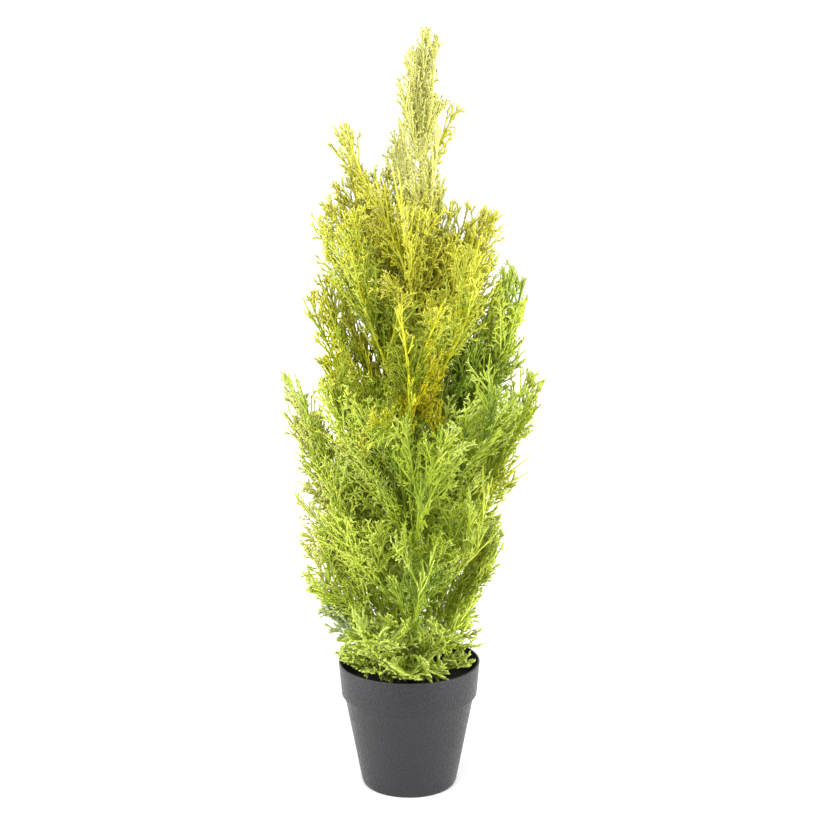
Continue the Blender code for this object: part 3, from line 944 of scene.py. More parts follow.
@dataclass(frozen=True)
class Silhouette:
    """The edge of the crown as it shows from the best side: (height, reach) points to either hand.

    Reach is measured from the pot's axis. Between left and right it changes evenly with the direction,
    so the same edge goes all the way round, and ragged is how far it wavers in and out. Each gap, by
    its place across, its height at the axis and its size, stays open right through along the slope of
    the best view.
    """

    ragged: float = 0.006
    wave: float = 0.018
    left: tuple[Pair, ...] = (
        (0.130, 0.070), (0.150, 0.078), (0.184, 0.092), (0.205, 0.098), (0.225, 0.107), (0.285, 0.111),
        (0.340, 0.108), (0.380, 0.121), (0.423, 0.128), (0.430, 0.086), (0.474, 0.088), (0.508, 0.114),
        (0.515, 0.086), (0.545, 0.086), (0.572, 0.094), (0.596, 0.084), (0.608, 0.072), (0.640, 0.072),
        (0.660, 0.078), (0.665, 0.017), (0.690, 0.013), (0.725, 0.013), (0.738, 0.002), (0.752, -0.004),
        (0.757, -0.060),
    )
    right: tuple[Pair, ...] = (
        (0.130, 0.070), (0.146, 0.077), (0.156, 0.077), (0.172, 0.066), (0.203, 0.071), (0.222, 0.089),
        (0.290, 0.093), (0.320, 0.110), (0.340, 0.105), (0.380, 0.125), (0.418, 0.135), (0.428, 0.112),
        (0.496, 0.114), (0.516, 0.106), (0.536, 0.091), (0.582, 0.088), (0.596, 0.036), (0.630, 0.038),
        (0.680, 0.058), (0.687, 0.028), (0.740, 0.031), (0.752, 0.026), (0.757, -0.060),
    )
    view_slope: float = 0.227
    gaps: tuple[Triple, ...] = (
        (-0.036, 0.653, 0.010), (-0.038, 0.629, 0.012), (-0.030, 0.608, 0.007), (-0.100, 0.508, 0.010),
        (-0.091, 0.421, 0.009), (-0.099, 0.409, 0.010), (-0.092, 0.389, 0.008), (0.068, 0.596, 0.015),
        (0.058, 0.573, 0.008), (0.031, 0.665, 0.008), (0.048, 0.631, 0.008), (0.107, 0.499, 0.006),
        (0.110, 0.413, 0.009), (0.107, 0.395, 0.007), (0.003, 0.744, 0.007),
    )

    def room(self, places: Array) -> Array:
        """How far inside the edge each place is, and less than nothing outside it or in a gap.

        Args:
            places: points as an array of (..., 3).

        Returns:
            Distances as an array of (...).
        """
        x, y, z = np.moveaxis(places, -1, 0)
        out = np.linalg.norm(places[..., :2], axis=-1)
        hand = 0.5 + 0.5 * x / np.maximum(out, MM)
        left, right = (np.interp(z, *np.array(side).T) for side in (self.left, self.right))
        room = left + (right - left) * hand - out
        seen = z + self.view_slope * y
        for across, height, size in self.gaps:
            room = np.minimum(room, np.hypot(x - across, seen - height) - size)
        return room + self.ragged * waves(places, self.wave, EDGE_SEED)


@dataclass(frozen=True)
class Rule:
    """The numbers of the growth.

    The first group is the model's own. Then come the sprays, their side branches, which are called
    fingers, the branchlets, the forks, and how all of them are made solid. A place is a spray's depth at
    its root and the share of its axis that is bare, or less than nothing where twigs start before the
    root. A shift or a spread holds the ends of an even draw, and a chance is the width of a normal one. A
    taper is what is lost along the owner, and a depth what is gained along it. A most is the greatest
    length as a share of the owner's, and more is added to it. cuts and least are the steps in which a
    strand is shortened and the least share of it that stays, and clear_shares say where on it its
    distance from trunk and pot is looked at.
    """

    peg: float = 0.0035
    gap: float = 0.0003
    end_start: float = 0.36
    side_shares: Pair = (0.22, 0.32)
    side_step: float = 0.05
    side_angle: float = math.radians(34)
    side_roll: float = math.radians(38)
    spray_width: float = 0.31
    solid_angle: float = math.radians(37)
    solid_from: float = 0.10
    solid_to: float = 0.86
    shorter: tuple[float, ...] = (1.0, 0.88, 0.76, 0.64, 0.52)

    end_place: Pair = (0.32, -0.14)
    side_place: Pair = (0.22, 0.08)
    inner_place: Pair = (0.12, 0.10)
    inner_shares: tuple[float, ...] = (0.03, 0.09, 0.16, 0.25, 0.35, 0.46, 0.58, 0.70, 0.82)
    inner_spread: Pair = (0.90, 1.30)
    inner_taper: float = 0.2
    inner_width: float = 0.8
    inner_depth: float = 0.3
    inner_chance: float = 0.12
    tip_place: Pair = (0.35, 0.05)
    tip_roll: float = 0.5
    tip_width: float = 0.7
    spray_curl: float = 0.08
    cuts: int = 13
    least: float = 0.4
    clear_shares: Pair = (0.5, 1.0)

    finger_to: float = 0.95
    finger_pairs: int = 4
    finger_shift: Pair = (0.25, 0.75)
    bulge_ends: Pair = (-0.3, 1.1)
    bulge_from: float = 0.30
    bulge_span: float = 0.55
    bulge_power: float = 0.7
    point: float = 1.03
    point_slope: float = 1.28
    finger_spread: Pair = (0.65, 1.40)
    finger_angle_chance: float = math.radians(6)
    finger_bend: Pair = (-0.05, 0.28)
    finger_depth: float = 0.40
    finger_depth_chance: float = 0.10
    axis_tip: float = 0.70
    accent_spread: Pair = (0.7, 1.3)

    branchlet_fewest: int = 2
    branchlet_shift: Pair = (0.45, 0.95)
    branchlet_angle_taper: float = 0.35
    branchlet_angle_chance: float = math.radians(9)
    branchlet_taper: float = 0.40
    branchlet_spread: Pair = (0.5, 1.3)
    branchlet_most: float = 0.45
    branchlet_more: float = 0.002
    branchlet_bend: Pair = (-0.10, 0.16)
    branchlet_lift: float = 1.5
    branchlet_depth: float = 0.38
    branchlet_depth_chance: float = 0.07

    fork_shift: Pair = (-0.06, 0.06)
    fork_angle_chance: float = math.radians(7)
    fork_from: float = 1.15
    fork_taper: float = 0.5
    fork_spread: Pair = (0.8, 1.2)
    fork_most: float = 0.7
    fork_bend: float = 0.1
    fork_lift: float = 0.12

    peg_overlap: float = 1.1
    ridge_pitch: float = 0.0030
    ridge: float = 0.10
    ridge_from: float = 1.6
    ridge_fade: float = 4.0
    # Depths where the tints step from inner to outer: partly own colour, partly painted shade inside the
    # crown and painted light at the tips
    tint_steps: Pair = (0.36, 0.72)
    peg_bar: Bar = Bar(2, 8, 0.0022, 0.0022, 0.95)
    rib_bar: Bar = Bar(90, 8, 0.0022, 0.0007, 0.9)
    spray_rib_bar: Bar = Bar(10, 6, 0.0014, 0.0007, 0.85)
    finger_bar: Bar = Bar(6, 4, 0.00098, 0.00065, 0.75)
    branchlet_bar: Bar = Bar(3, 3, 0.00094, 0.00068, 0.70)
    fork_bar: Bar = Bar(2, 3, 0.00086, 0.00046, 0.75)


@dataclass(frozen=True)
class Fit:
    """How one frond differs from the others of its whorl.

    fullness is a factor on the width of its sprays and on how many there are, bush on the length of the
    inner ones, and beyond on how far along its own line the end spray goes. bend is where the rib's
    bend lies, as shares of the way out and the way up. tips are further sprays, each by the share of
    the rib where it starts and by where its tip stands. habit is its own habit, if it has one.
    """

    fullness: float = 1.0
    bush: float = 1.0
    beyond: float = 1.0
    bend: Pair = (0.66, 0.40)
    tips: tuple[tuple[float, float, float, float], ...] = ()
    habit: Habit | None = None


@dataclass
class Spray:
    """One spray to grow: its axis, reach, width, how far out its root lies, and where it is bare."""

    axis: Strands
    reach: float
    width: float
    depth: float
    bare: float


@dataclass
class Frond:
    """One moulded frond, grown by the rule from where its rib starts and where its tip stands."""

    name: str
    order: int
    azimuth: float
    foot: float
    tip: Array
    roll: float
    whorl: Whorl
    fit: Fit
    palette: Palette
    trunk: Trunk
    pot: Pot
    rule: Rule
    edge: Silhouette
    accents: tuple[Accent, ...]
    chance: Draws = field(init=False)

    def __post_init__(self) -> None:
        """Starts the frond's own random draws."""
        self.chance = np.random.default_rng(GROWTH_SEED + self.order)

    def outward(self) -> Array:
        """The level direction in which the frond leaves the trunk."""
        return bearing(self.azimuth)

    def level(self) -> Array:
        """The level direction round the trunk."""
        return np.array([-math.sin(self.azimuth), math.cos(self.azimuth), 0.0])

    def growth(self) -> Growth:
        """How it branches: by its own habit, or else by its whorl's."""
        return (self.fit.habit or self.whorl.habit).value

    def rib(self) -> Strands:
        """The rib's centre line.

        It is the quadratic curve from the peg's end to the tip whose bend lies where the fit says. Written
        as a parabola, run is twice the way to the bend, and curl is start less twice the bend plus tip.

        Returns:
            One strand.
        """
        foot = self.trunk.centre(np.array(self.foot))
        if self.foot > self.trunk.top:
            start = foot + (0.0, 0.0, self.rule.peg)
        else:
            off = self.trunk.radius(np.array(self.foot)) + self.rule.gap + self.rule.peg
            start = foot + self.outward() * off
        out, up = self.fit.bend
        bend = start + (self.tip - start) * (out, out, up)
        run, curl = 2 * (bend - start), start - 2 * bend + self.tip
        return Strands.single(start, run, curl, self.fan(unit(run + curl), self.roll)[1])

    def fan(self, along: Array, roll: float) -> tuple[Array, Array]:
        """The side and normal of a fan whose rib runs along a direction, turned about it by a roll.

        Args:
            along: unit direction of the rib.
            roll: 0 for a fan that faces outwards, a quarter turn for one that stands like a fin.

        Returns:
            The side and the normal, both unit vectors.
        """
        across = square_to(self.level(), along)
        side = across * math.cos(roll) + np.cross(along, across) * math.sin(roll)
        return side, np.cross(along, side)

    def grown(self, root: Array, forward: Array, full: float) -> float:
        """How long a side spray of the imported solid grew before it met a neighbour.

        The rule shortens a spray in steps until it is clear, so one of the possible tips is a corner of
        the solid, or none is, where the spray was turned or left out.

        Args:
            root: where the spray leaves the rib.
            forward: its unit direction.
            full: its length where nothing is in its way.

        Returns:
            The length that it has, or the shortest one.
        """
        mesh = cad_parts[self.name].data
        corners = np.zeros(len(mesh.vertices) * 3, dtype=np.float32)
        mesh.vertices.foreach_get("co", corners)
        corners = corners.reshape(-1, 3)
        for shorter in self.rule.shorter:
            tip = root + forward * full * shorter
            if np.linalg.norm(corners - tip, axis=1).min() < MM:
                return full * shorter
        return full * self.rule.shorter[-1]

    def sprays(self) -> list[Spray]:
        """The frond's sprays: the long end one, the solid's side ones, the inner ones and the aimed ones.

        Returns:
            The sprays, ready to be clothed.
        """
        rib, rule, fit, whorl, chance = self.rib(), self.rule, self.fit, self.whorl, self.chance
        upper = rib.stretch(rule.end_start, fit.beyond)
        forward = upper.run[0] + upper.curl[0]
        upper.normal = self.fan(unit(forward), self.roll)[1][None]
        reach = float(np.linalg.norm(forward))
        found = [Spray(upper, reach, whorl.width * fit.fullness, *rule.end_place)]
        for number, share in enumerate(rule.side_shares):
            hand = 1 if (number + self.order) % 2 else -1
            root = rib.place(share)[0]
            along = unit(rib.place(share + rule.side_step)[0] - root)
            side, normal = self.fan(along, self.roll + hand * rule.side_roll)
            way = along * math.cos(rule.side_angle) + side * hand * math.sin(rule.side_angle)
            reach = self.grown(root, way, whorl.side)
            axis = Strands.single(root, way * reach, np.zeros(3), normal)
            found.append(Spray(axis, reach, fit.fullness, *rule.side_place))
        for share in rule.inner_shares[: round(fit.fullness * len(rule.inner_shares))]:
            root, along = rib.place(share)
            rise, sway = chance.uniform(*whorl.rise), chance.normal(whorl.drift, whorl.sway)
            way = unit(along * (1 - rise) + np.array([0, 0, rise]) + self.level() * sway)
            reach = whorl.side * fit.bush * chance.uniform(*rule.inner_spread)
            reach = reach * (1 - rule.inner_taper * share)
            normal = self.fan(way, chance.uniform(0, math.pi))[1]
            axis = Strands.single(root, way * reach, self.outward() * rule.spray_curl * reach, normal)
            depth, bare = rule.inner_place
            depth = depth + rule.inner_depth * share + chance.normal(0, rule.inner_chance)
            found.append(Spray(axis, reach, rule.inner_width * fit.fullness, depth, bare))
        for share, *tip in fit.tips:
            root = rib.place(share)[0]
            run = np.array(tip) - root
            reach = float(np.linalg.norm(run))
            normal = self.fan(unit(run), chance.uniform(-rule.tip_roll, rule.tip_roll))[1]
            curl = self.outward() * rule.spray_curl * reach
            axis = Strands.single(root, run - curl, curl, normal)
            found.append(Spray(axis, reach, rule.tip_width * fit.fullness, *rule.tip_place))
        return found

    def trimmed(self, strands: Strands) -> Strands:
        """Shortens strands that pass the crown's edge, and drops those that hardly get inside it.

        Args:
            strands: the strands.

        Returns:
            The strands, each cut at the largest of some shares of its line at which it is still inside.
        """
        shares = np.linspace(1.0, self.rule.least, self.rule.cuts)
        places = strands.at(np.broadcast_to(shares, (len(strands.start), len(shares))))
        inside = self.edge.room(places) > 0
        share = shares[np.argmax(inside, axis=1)][:, None]
        found = replace(strands, run=strands.run * share, curl=strands.curl * share**2)
        return found.only(inside.any(axis=1))

    def clear(self, strands: Strands) -> Array:
        """A mask of the strands that stay clear of the trunk, the filling and the pot's wall.

        Args:
            strands: the strands to test at their middle and their tip.

        Returns:
            True for each strand to keep.
        """
        places = strands.at(np.broadcast_to(self.rule.clear_shares, (len(strands.start), 2)))
        height = places[..., 2]
        from_trunk = np.linalg.norm(places - self.trunk.centre(height), axis=-1)
        off_trunk = (height > self.trunk.top) | (from_trunk > self.trunk.radius(height) + MM)
        from_middle = np.linalg.norm(places[..., :2], axis=-1)
        mouth = self.pot.inside(self.pot.height - 2 * MM) - MM
        over_filling = (from_middle < mouth) & (height > self.trunk.fill_top + MM)
        off_pot = (height >= self.pot.height + MM) | over_filling
        return np.all(off_trunk & off_pot, axis=1)

    def grow(self) -> list[tuple[Kind, Tint, Shape]]:
        """Grows the whole frond.

        The lower part of the rib carries fine rings, which fade out upwards.

        Returns:
            The frond's bars, by what they are and which tint they have.
        """
        rule, stem = self.rule, self.palette.value[0]
        rib = self.trimmed(self.rib())
        root = rib.start[0] - self.trunk.centre(np.array(self.foot))
        peg = Strands.single(rib.start[0] - root, root * rule.peg_overlap, 0 * root, rib.normal[0])
        v = np.linspace(0, 1, rule.rib_bar.rings)
        rings = np.cos(v * rib.length() * math.tau / rule.ridge_pitch)
        relief = 1 + rule.ridge * rings * np.clip(rule.ridge_from - rule.ridge_fade * v, 0, 1)
        bars = (peg.swept(rule.peg_bar), rib.swept(rule.rib_bar, relief))
        made = [(Kind.RIBS, stem, bar) for bar in bars]
        for number, spray in enumerate(self.sprays()):
            axis = self.trimmed(spray.axis)
            if number and len(axis.start):
                made.append((Kind.RIBS, stem, axis.swept(rule.spray_rib_bar)))
            fingers = self.fingers(spray)
            branchlets = self.branchlets(fingers)
            forks = self.forks(branchlets)
            made += self.dealt(Kind.RIBS, fingers, rule.finger_bar)
            made += self.dealt(Kind.SPRAYS, branchlets, rule.branchlet_bar)
            made += self.dealt(Kind.SPRAYS, forks, rule.fork_bar)
        return made

    def dealt(self, kind: Kind, strands: Strands, bar: Bar) -> list[tuple[Kind, Tint, Shape]]:
        """Makes strands solid in the frond's three tints, from the inside out, and in those of accents. The
        darker inner and lighter outer tints are partly the plant's own colour and partly painted shade
        inside the crown and painted light at the tips.

        Args:
            kind: what they are.
            strands: the strands.
            bar: how they are made.

        Returns:
            The shapes with their tints.
        """
        plain = self.palette.value[1:]
        # Deeper strands take darker tints and outer ones lighter: partly own colour, partly painted shade
        # and painted light
        step = np.digitize(strands.depth, self.rule.tint_steps)
        step = np.where(strands.accent > 0, len(plain) - 1 + strands.accent, step)
        tints = (*plain, *(accent.tint for accent in self.accents))
        return [
            (kind, tint, strands.only(step == number).swept(bar))
            for number, tint in enumerate(tints)
            if np.any(step == number)
        ]

    def fingers(self, spray: Spray) -> Strands:
        """The side branches of a spray, by turns to either hand, and the tip of its own axis.

        As on the solid, their length follows a power of the sine of a share of a half turn, times the
        spray's half-width over the sine of the solid's angle. Near the tip it is cut so that the spray
        ends in a point. A side branch whose middle lies in a coloured part of the crown takes its number.

        Args:
            spray: the spray to clothe.

        Returns:
            The side branches.
        """
        rule, growth, chance = self.rule, self.growth(), self.chance
        count = 2 * max(rule.finger_pairs, round(spray.reach / growth.finger_pitch))
        place = np.arange(count)
        step = (rule.finger_to - spray.bare) / count
        v = spray.bare + step * (place + chance.uniform(*rule.finger_shift, count))
        share = np.clip((v - rule.solid_from) / (rule.solid_to - rule.solid_from), *rule.bulge_ends)
        bulge = np.sin(math.pi * (rule.bulge_from + rule.bulge_span * share)) ** rule.bulge_power
        length = growth.finger_length * rule.spray_width * spray.width * bulge / math.sin(rule.solid_angle)
        length = np.minimum(length, (rule.point - v) / rule.point_slope)
        length *= spray.reach * chance.uniform(*rule.finger_spread, count)
        angle = growth.finger_angle + chance.normal(0, rule.finger_angle_chance, count)
        hand = np.where(place % 2, 1.0, -1.0)
        depth = spray.depth + rule.finger_depth * np.clip(v, 0, 1)
        depth = depth + chance.normal(0, rule.finger_depth_chance, count)
        bend = chance.uniform(*rule.finger_bend, count)
        lift = chance.normal(growth.lift * chance.choice([-1, 1]), growth.lift, count)
        spray.axis.breadth = np.full(1, growth.breadth)
        found = spray.axis.branch(0 * place, v, hand, angle, length, bend, lift, depth)
        tip = spray.axis.stretch(rule.axis_tip)
        tip.depth = np.full(1, spray.depth + rule.finger_depth)
        found = self.trimmed(Strands.joined([found, tip]))
        found = found.only(self.clear(found))
        middle = found.start + 0.5 * found.run
        for number, accent in enumerate(self.accents, 1):
            off = np.linalg.norm(middle - accent.place, axis=1)
            reach = accent.size * chance.uniform(*rule.accent_spread, len(off))
            found.accent[off < reach] = number
        return found

    def branchlets(self, fingers: Strands) -> Strands:
        """The branchlets of the side branches, closely set and by turns to either hand.

        Args:
            fingers: the side branches.

        Returns:
            The branchlets that end inside the crown's edge, and stay clear of the trunk and the pot.
        """
        rule, growth, chance = self.rule, self.growth(), self.chance
        length = fingers.length()
        each = np.maximum(rule.branchlet_fewest, np.round(length / growth.branchlet_pitch)).astype(int)
        owner = np.repeat(np.arange(len(each)), each)
        place = np.arange(each.sum()) - np.repeat(np.cumsum(each) - each, each)
        count = len(owner)
        v = (place + chance.uniform(*rule.branchlet_shift, count)) / each[owner]
        hand = np.where(place % 2, 1.0, -1.0)
        angle = growth.branchlet_angle * (1 - rule.branchlet_angle_taper * v)
        angle = angle + chance.normal(0, rule.branchlet_angle_chance, count)
        size = growth.branchlet_length * (1 - rule.branchlet_taper * v)
        size = size * chance.uniform(*rule.branchlet_spread, count)
        size = np.minimum(size, rule.branchlet_most * length[owner] + rule.branchlet_more)
        bend = chance.uniform(*rule.branchlet_bend, count)
        lift = chance.normal(0, rule.branchlet_lift * growth.lift, count)
        depth = fingers.depth[owner] + rule.branchlet_depth * v
        depth = depth + chance.normal(0, rule.branchlet_depth_chance, count)
        found = fingers.branch(owner, v, hand, angle, size, bend, lift, depth)
        found = found.only(self.edge.room(found.start + found.run + found.curl) > 0)
        return found.only(self.clear(found))

    def forks(self, branchlets: Strands) -> Strands:
        """The short forks along each branchlet, by turns to either hand.

        Args:
            branchlets: the branchlets.

        Returns:
            The forks.
        """
        rule, growth, chance = self.rule, self.growth(), self.chance
        each, many = len(growth.fork_places), len(branchlets.start)
        owner = np.repeat(np.arange(many), each)
        place = np.tile(np.arange(each), many)
        count = len(owner)
        v = np.array(growth.fork_places)[place] + chance.uniform(*rule.fork_shift, count)
        hand = np.where((place + owner) % 2, 1.0, -1.0)
        angle = growth.fork_angle + chance.normal(0, rule.fork_angle_chance, count)
        size = growth.fork_length * (rule.fork_from - rule.fork_taper * v)
        size = size * chance.uniform(*rule.fork_spread, count)
        size = np.minimum(size, rule.fork_most * branchlets.length()[owner])
        bend, lift = np.full(count, rule.fork_bend), chance.normal(0, rule.fork_lift, count)
        return branchlets.branch(owner, v, hand, angle, size, bend, lift, branchlets.depth[owner])


@dataclass
class Crown:
    """All the fronds: whorl above whorl on the trunk, and the leader on its tip.

    outline gives how far out the frond tips stand at some heights, and peaks holds factors on it. The
    model's draws turn, raise and roll each frond by up to the three chances, and tip_short is how much
    of its reach the rib leaves to the twigs.
    """

    trunk: Trunk
    pot: Pot
    rule: Rule = field(default_factory=Rule)
    edge: Silhouette = field(default_factory=Silhouette)
    total_height: float = 0.750
    seed_step: int = 100
    azimuth_chance: float = 7.0
    foot_chance: float = 0.004
    roll_chance: float = 20.0
    tip_short: float = 0.004
    leader_azimuth: float = 250.0
    leader_side: float = 0.070
    leader_width: float = 1.1
    leader_rise: Pair = (0.5, 0.85)
    leader_sway: float = 0.15
    leader_drift: float = 0.05
    outline: tuple[Pair, ...] = (
        (0.130, 0.058), (0.170, 0.078), (0.240, 0.099), (0.300, 0.104), (0.400, 0.120),
        (0.500, 0.108), (0.580, 0.084), (0.665, 0.060), (0.700, 0.040), (0.750, 0.005),
    )
    peaks: dict[str, float] = field(default_factory=lambda: {"crown_frond_1": 1.34, "crown_frond_3": 0.78})
    fits: dict[str, Fit] = field(default_factory=lambda: {
        "skirt_frond_1": Fit(fullness=0.9, beyond=1.15, tips=(
            (0.1, -0.040, -0.047, 0.133), (0.1, -0.062, -0.012, 0.138),
        )),
        "skirt_frond_2": Fit(fullness=0.9, beyond=1.2, tips=(
            (0.1, -0.008, -0.028, 0.155), (0.1, 0.004, -0.060, 0.132), (0.1, 0.030, -0.052, 0.131),
        )),
        "skirt_frond_3": Fit(fullness=0.45, beyond=1.3),
        "skirt_frond_4": Fit(fullness=0.6),
        "skirt_frond_5": Fit(fullness=0.7),
        "foot_frond_2": Fit(habit=Habit.WIRY),
        "foot_frond_3": Fit(habit=Habit.WIRY, tips=(
            (0.1, 0.077, -0.012, 0.148), (0.2, 0.066, -0.012, 0.160), (0.2, 0.058, -0.020, 0.173),
        )),
        "foot_frond_5": Fit(tips=((0.2, -0.078, -0.010, 0.166),)),
        "low_frond_1": Fit(bush=1.1, beyond=1.2, tips=(
            (0.5, -0.095, -0.015, 0.206), (0.4, -0.089, -0.005, 0.182),
        )),
        "low_frond_3": Fit(beyond=1.2, tips=(
            (0.4, 0.089, 0.000, 0.276), (0.4, 0.088, -0.025, 0.250), (0.3, 0.083, -0.005, 0.223),
            (0.3, 0.078, -0.010, 0.212), (0.25, 0.070, -0.010, 0.199), (0.5, 0.091, -0.010, 0.262),
        )),
        "lower_frond_1": Fit(tips=(
            (0.4, -0.112, -0.030, 0.305), (0.3, -0.112, -0.020, 0.272), (0.35, -0.100, -0.010, 0.330),
        )),
        "lower_frond_3": Fit(tips=((0.4, 0.106, 0.000, 0.318), (0.3, 0.100, 0.010, 0.345))),
        "middle_frond_1": Fit(tips=(
            (0.6, -0.121, -0.005, 0.422), (0.5, -0.116, 0.000, 0.409), (0.5, -0.122, 0.000, 0.384),
        )),
        "middle_frond_2": Fit(tips=(
            (0.1, 0.010, -0.030, 0.365), (0.1, -0.036, -0.062, 0.428), (0.15, -0.056, -0.056, 0.378),
            (0.12, -0.014, -0.068, 0.385),
        )),
        "middle_frond_3": Fit(tips=((0.6, 0.134, 0.000, 0.418), (0.5, 0.125, -0.010, 0.390))),
        "high_frond_1": Fit(fullness=0.78, bush=1.1, tips=(
            (0.15, -0.060, -0.010, 0.475), (0.2, -0.070, 0.010, 0.505), (0.75, -0.111, -0.005, 0.503),
        )),
        "high_frond_3": Fit(tips=(
            (0.5, 0.102, -0.005, 0.523), (0.5, 0.116, 0.000, 0.497), (0.3, 0.086, -0.005, 0.512),
            (0.3, 0.110, 0.000, 0.455), (0.3, 0.110, 0.005, 0.432), (0.3, 0.096, -0.005, 0.425),
            (0.2, 0.070, -0.010, 0.470), (0.15, 0.060, 0.000, 0.450),
        )),
        "higher_frond_1": Fit(tips=((0.45, -0.083, -0.020, 0.572), (0.3, -0.078, -0.010, 0.545))),
        "shoulder_frond_1": Fit(bush=1.3, tips=((0.3, -0.086, 0.000, 0.592), (0.1, -0.078, 0.010, 0.560))),
        "shoulder_frond_2": Fit(bush=1.4, tips=((0.2, 0.006, -0.030, 0.602),)),
        "shoulder_frond_3": Fit(bush=1.3, tips=(
            (0.2, 0.040, -0.010, 0.590), (0.15, 0.031, -0.010, 0.606),
        )),
        "crown_frond_1": Fit(fullness=0.6, tips=(
            (0.4, -0.071, -0.005, 0.661), (0.3, -0.074, 0.000, 0.643),
        )),
        "crown_frond_2": Fit(fullness=0.6, bush=1.2, habit=Habit.SLENDER, tips=(
            (0.1, -0.016, -0.008, 0.640), (0.2, -0.015, -0.005, 0.652), (0.3, 0.010, -0.014, 0.648),
        )),
        "crown_frond_3": Fit(fullness=0.37, bush=0.6, bend=(-0.20, 0.60), habit=Habit.SLENDER),
        "crown_frond_4": Fit(fullness=0.7, habit=Habit.SLENDER),
        "leader_frond": Fit(fullness=0.5, habit=Habit.SLENDER, tips=(
            (0.1, 0.027, -0.008, 0.744), (0.1, -0.001, -0.008, 0.735), (0.0, -0.010, -0.010, 0.704),
            (0.0, 0.028, -0.010, 0.708), (0.3, 0.012, -0.006, 0.752),
        )),
    })

    def plan(self) -> dict[Whorl, list[Frond]]:
        """Plans every frond with the same draws as the model, whorl by whorl.

        Returns:
            The fronds of each whorl.
        """
        heights, reaches = np.array(self.outline).T
        fixed = (self.trunk, self.pot, self.rule, self.edge, ACCENTS)
        planned, order = {}, 0
        for number, whorl in enumerate(whorls()):
            planned[whorl] = []
            for place, tip_height in enumerate(whorl.tips):
                chance = random.Random(SEED + self.seed_step * number + place)
                turn = chance.uniform(-self.azimuth_chance, self.azimuth_chance)
                foot = whorl.foot + chance.uniform(-self.foot_chance, self.foot_chance)
                spread = chance.uniform(-self.roll_chance, self.roll_chance) if whorl.roll else 0
                name = f"{whorl.name}_frond_{place + 1}"
                azimuth = math.radians(whorl.start + 360 * place / len(whorl.tips) + turn)
                reach = np.interp(tip_height, heights, reaches) * self.peaks.get(name, 1.0) - self.tip_short
                tip = self.trunk.centre(np.array(tip_height)) + reach * bearing(azimuth)
                roll = math.radians(whorl.roll + spread)
                look = (self.fits.get(name, Fit()), whorl.palettes[place])
                planned[whorl].append(Frond(name, order, azimuth, foot, tip, roll, whorl, *look, *fixed))
                order += 1
        foot = self.trunk.top + self.rule.gap
        leader = Whorl("leader", foot, (self.total_height,), self.leader_azimuth, 0, self.leader_side,
                       self.leader_width, "gold_green", (Palette.LEADER,),
                       rise=self.leader_rise, sway=self.leader_sway, drift=self.leader_drift)
        tip = self.trunk.centre(np.array(self.total_height))
        azimuth, name = math.radians(leader.start), "leader_frond"
        look = (self.fits[name], Palette.LEADER)
        planned[leader] = [Frond(name, order, azimuth, foot, tip, 0.0, leader, *look, *fixed)]
        return planned

    def build(self) -> list[bpy.types.Object]:
        """Grows the fronds, and joins each whorl's bars by kind and tint.

        Returns:
            The finished pieces.
        """
        pieces = []
        for whorl, fronds in self.plan().items():
            heaps: dict[tuple[Kind, Tint], list[Shape]] = {}
            for frond in fronds:
                for kind, tint, shape in frond.grow():
                    heaps.setdefault((kind, tint), []).append(shape)
            nodes = [frond.name for frond in fronds]
            for (kind, tint), shapes in heaps.items():
                name = f"{whorl.name}_{kind.value}_{tint.name.lower()}"
                pieces.append(Shape.joined(shapes).piece(name, tint.value, whorl.slot, nodes))
        return pieces


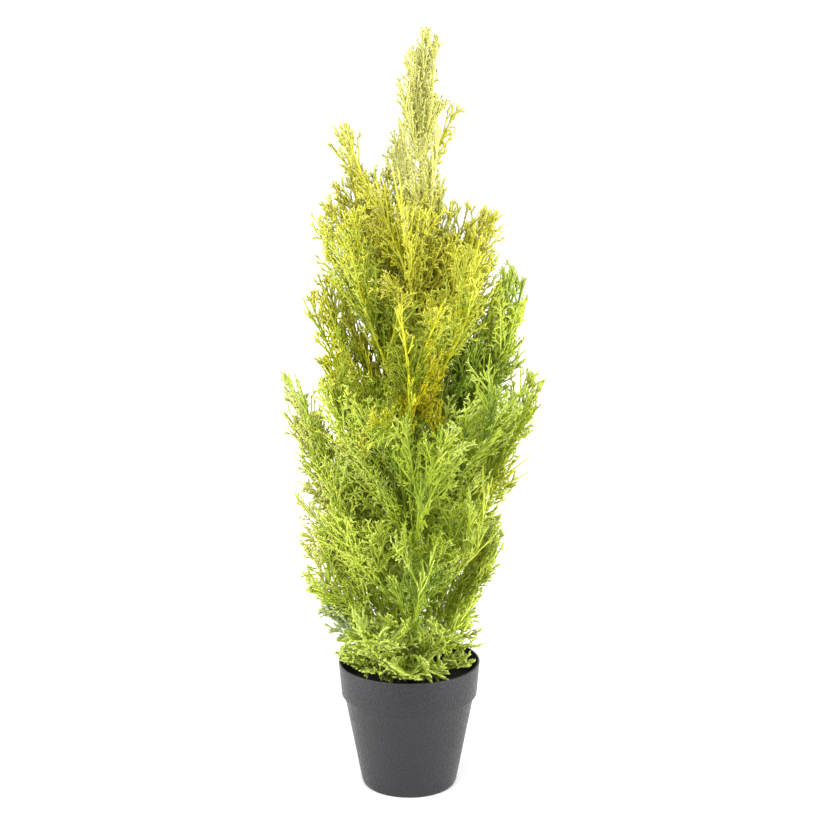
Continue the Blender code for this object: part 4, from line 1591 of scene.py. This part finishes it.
@dataclass(frozen=True)
class Studio:
    """A pale floor, soft light from a few large panels and a white surround, and the camera.

    A panel is its name, place, width and power, and looks at the aim.
    """

    floor_size: float = 240.0
    floor_finish: Finish = Finish(
        "floor_white", (0.93, 0.93, 0.93), roughness=0.9, roughness_spread=0.0, patch_scale=1.0,
        patch_strength=0.0, grain_scale=10.0, grain_strength=0.0, grain_depth=0.0, bump=0.0, specular=0.1
    )
    surround: float = 0.5
    surround_colour: tuple[float, float, float, float] = (1.0, 1.0, 1.0, 1.0)
    sun_power: float = 2.8
    sun_spread: float = math.radians(80)
    sun_tilt: Triple = (math.radians(32), math.radians(-6), 0.0)
    camera_place: Triple = (0.0058, -1.9006, 0.8115)
    camera_pitch: float = 0.2232
    camera_lens: float = 86.75
    sensor: float = 36.0
    aim: Triple = (0.0, 0.0, 0.40)
    panels: tuple[tuple[str, Triple, float, float], ...] = (
        ("left_panel", (-1.65, -0.6, 0.75), 1.4, 32.0),
        ("right_panel", (1.65, -0.6, 0.75), 1.4, 34.0),
        ("back_panel", (0.0, 2.4, 0.9), 3.0, 26.0),
    )

    def floor(self) -> None:
        """Lays the floor, which isn't part of the plant."""
        half = self.floor_size / 2
        mesh = bpy.data.meshes.new("studio_floor")
        corners = [(-half, -half, 0), (half, -half, 0), (half, half, 0), (-half, half, 0)]
        mesh.from_pydata(corners, [], [(0, 1, 2, 3)])
        mesh.materials.append(self.floor_finish.material())
        put("studio_floor", mesh)

    def lights(self) -> None:
        """Hangs a wide soft light above and panels round the plant, in a white surround.

        Each panel is turned to the aim: tilted from straight down by the angle whose tangent is the level
        distance over the drop, and then turned about Z.
        """
        world = bpy.data.worlds.new("studio_surround")
        world.use_nodes = True
        background = world.node_tree.nodes["Background"]
        background.inputs["Color"].default_value = self.surround_colour
        background.inputs["Strength"].default_value = self.surround
        bpy.context.scene.world = world
        overhead = bpy.data.lights.new("overhead_light", "SUN")
        overhead.energy = self.sun_power
        overhead.angle = self.sun_spread
        put("overhead_light", overhead).rotation_euler = self.sun_tilt
        for name, place, size, power in self.panels:
            panel = bpy.data.lights.new(name, "AREA")
            panel.size = size
            panel.energy = power
            made = put(name, panel)
            made.location = place
            x, y, z = np.array(self.aim) - np.array(place)
            made.rotation_euler = (math.atan2(math.hypot(x, y), -z), 0.0, math.atan2(-x, y))

    def camera(self) -> None:
        """Sets the camera at the photograph's viewing angle."""
        data = bpy.data.cameras.new("camera")
        data.lens = self.camera_lens
        data.sensor_width = self.sensor
        made = put("camera", data)
        made.location = self.camera_place
        made.rotation_euler = (math.pi / 2 - self.camera_pitch, 0.0, 0.0)
        bpy.context.scene.camera = made

    def build(self) -> None:
        """Sets up the whole studio."""
        bpy.context.scene.view_settings.view_transform = "Standard"
        self.floor()
        self.lights()
        self.camera()


def main() -> None:
    """Dresses the whole plant in order, and notes how many pieces there are."""
    logging.basicConfig(level=logging.INFO, format="%(name)s: %(message)s")
    Studio().build()
    pot, trunk = Pot(), Trunk()
    pieces = [pot.build(), Filling(pot).build(), trunk.build(), *Crown(trunk, pot).build()]
    LOG.info("%d pieces in all", len(pieces))


if __name__ == "__main__":
    main()
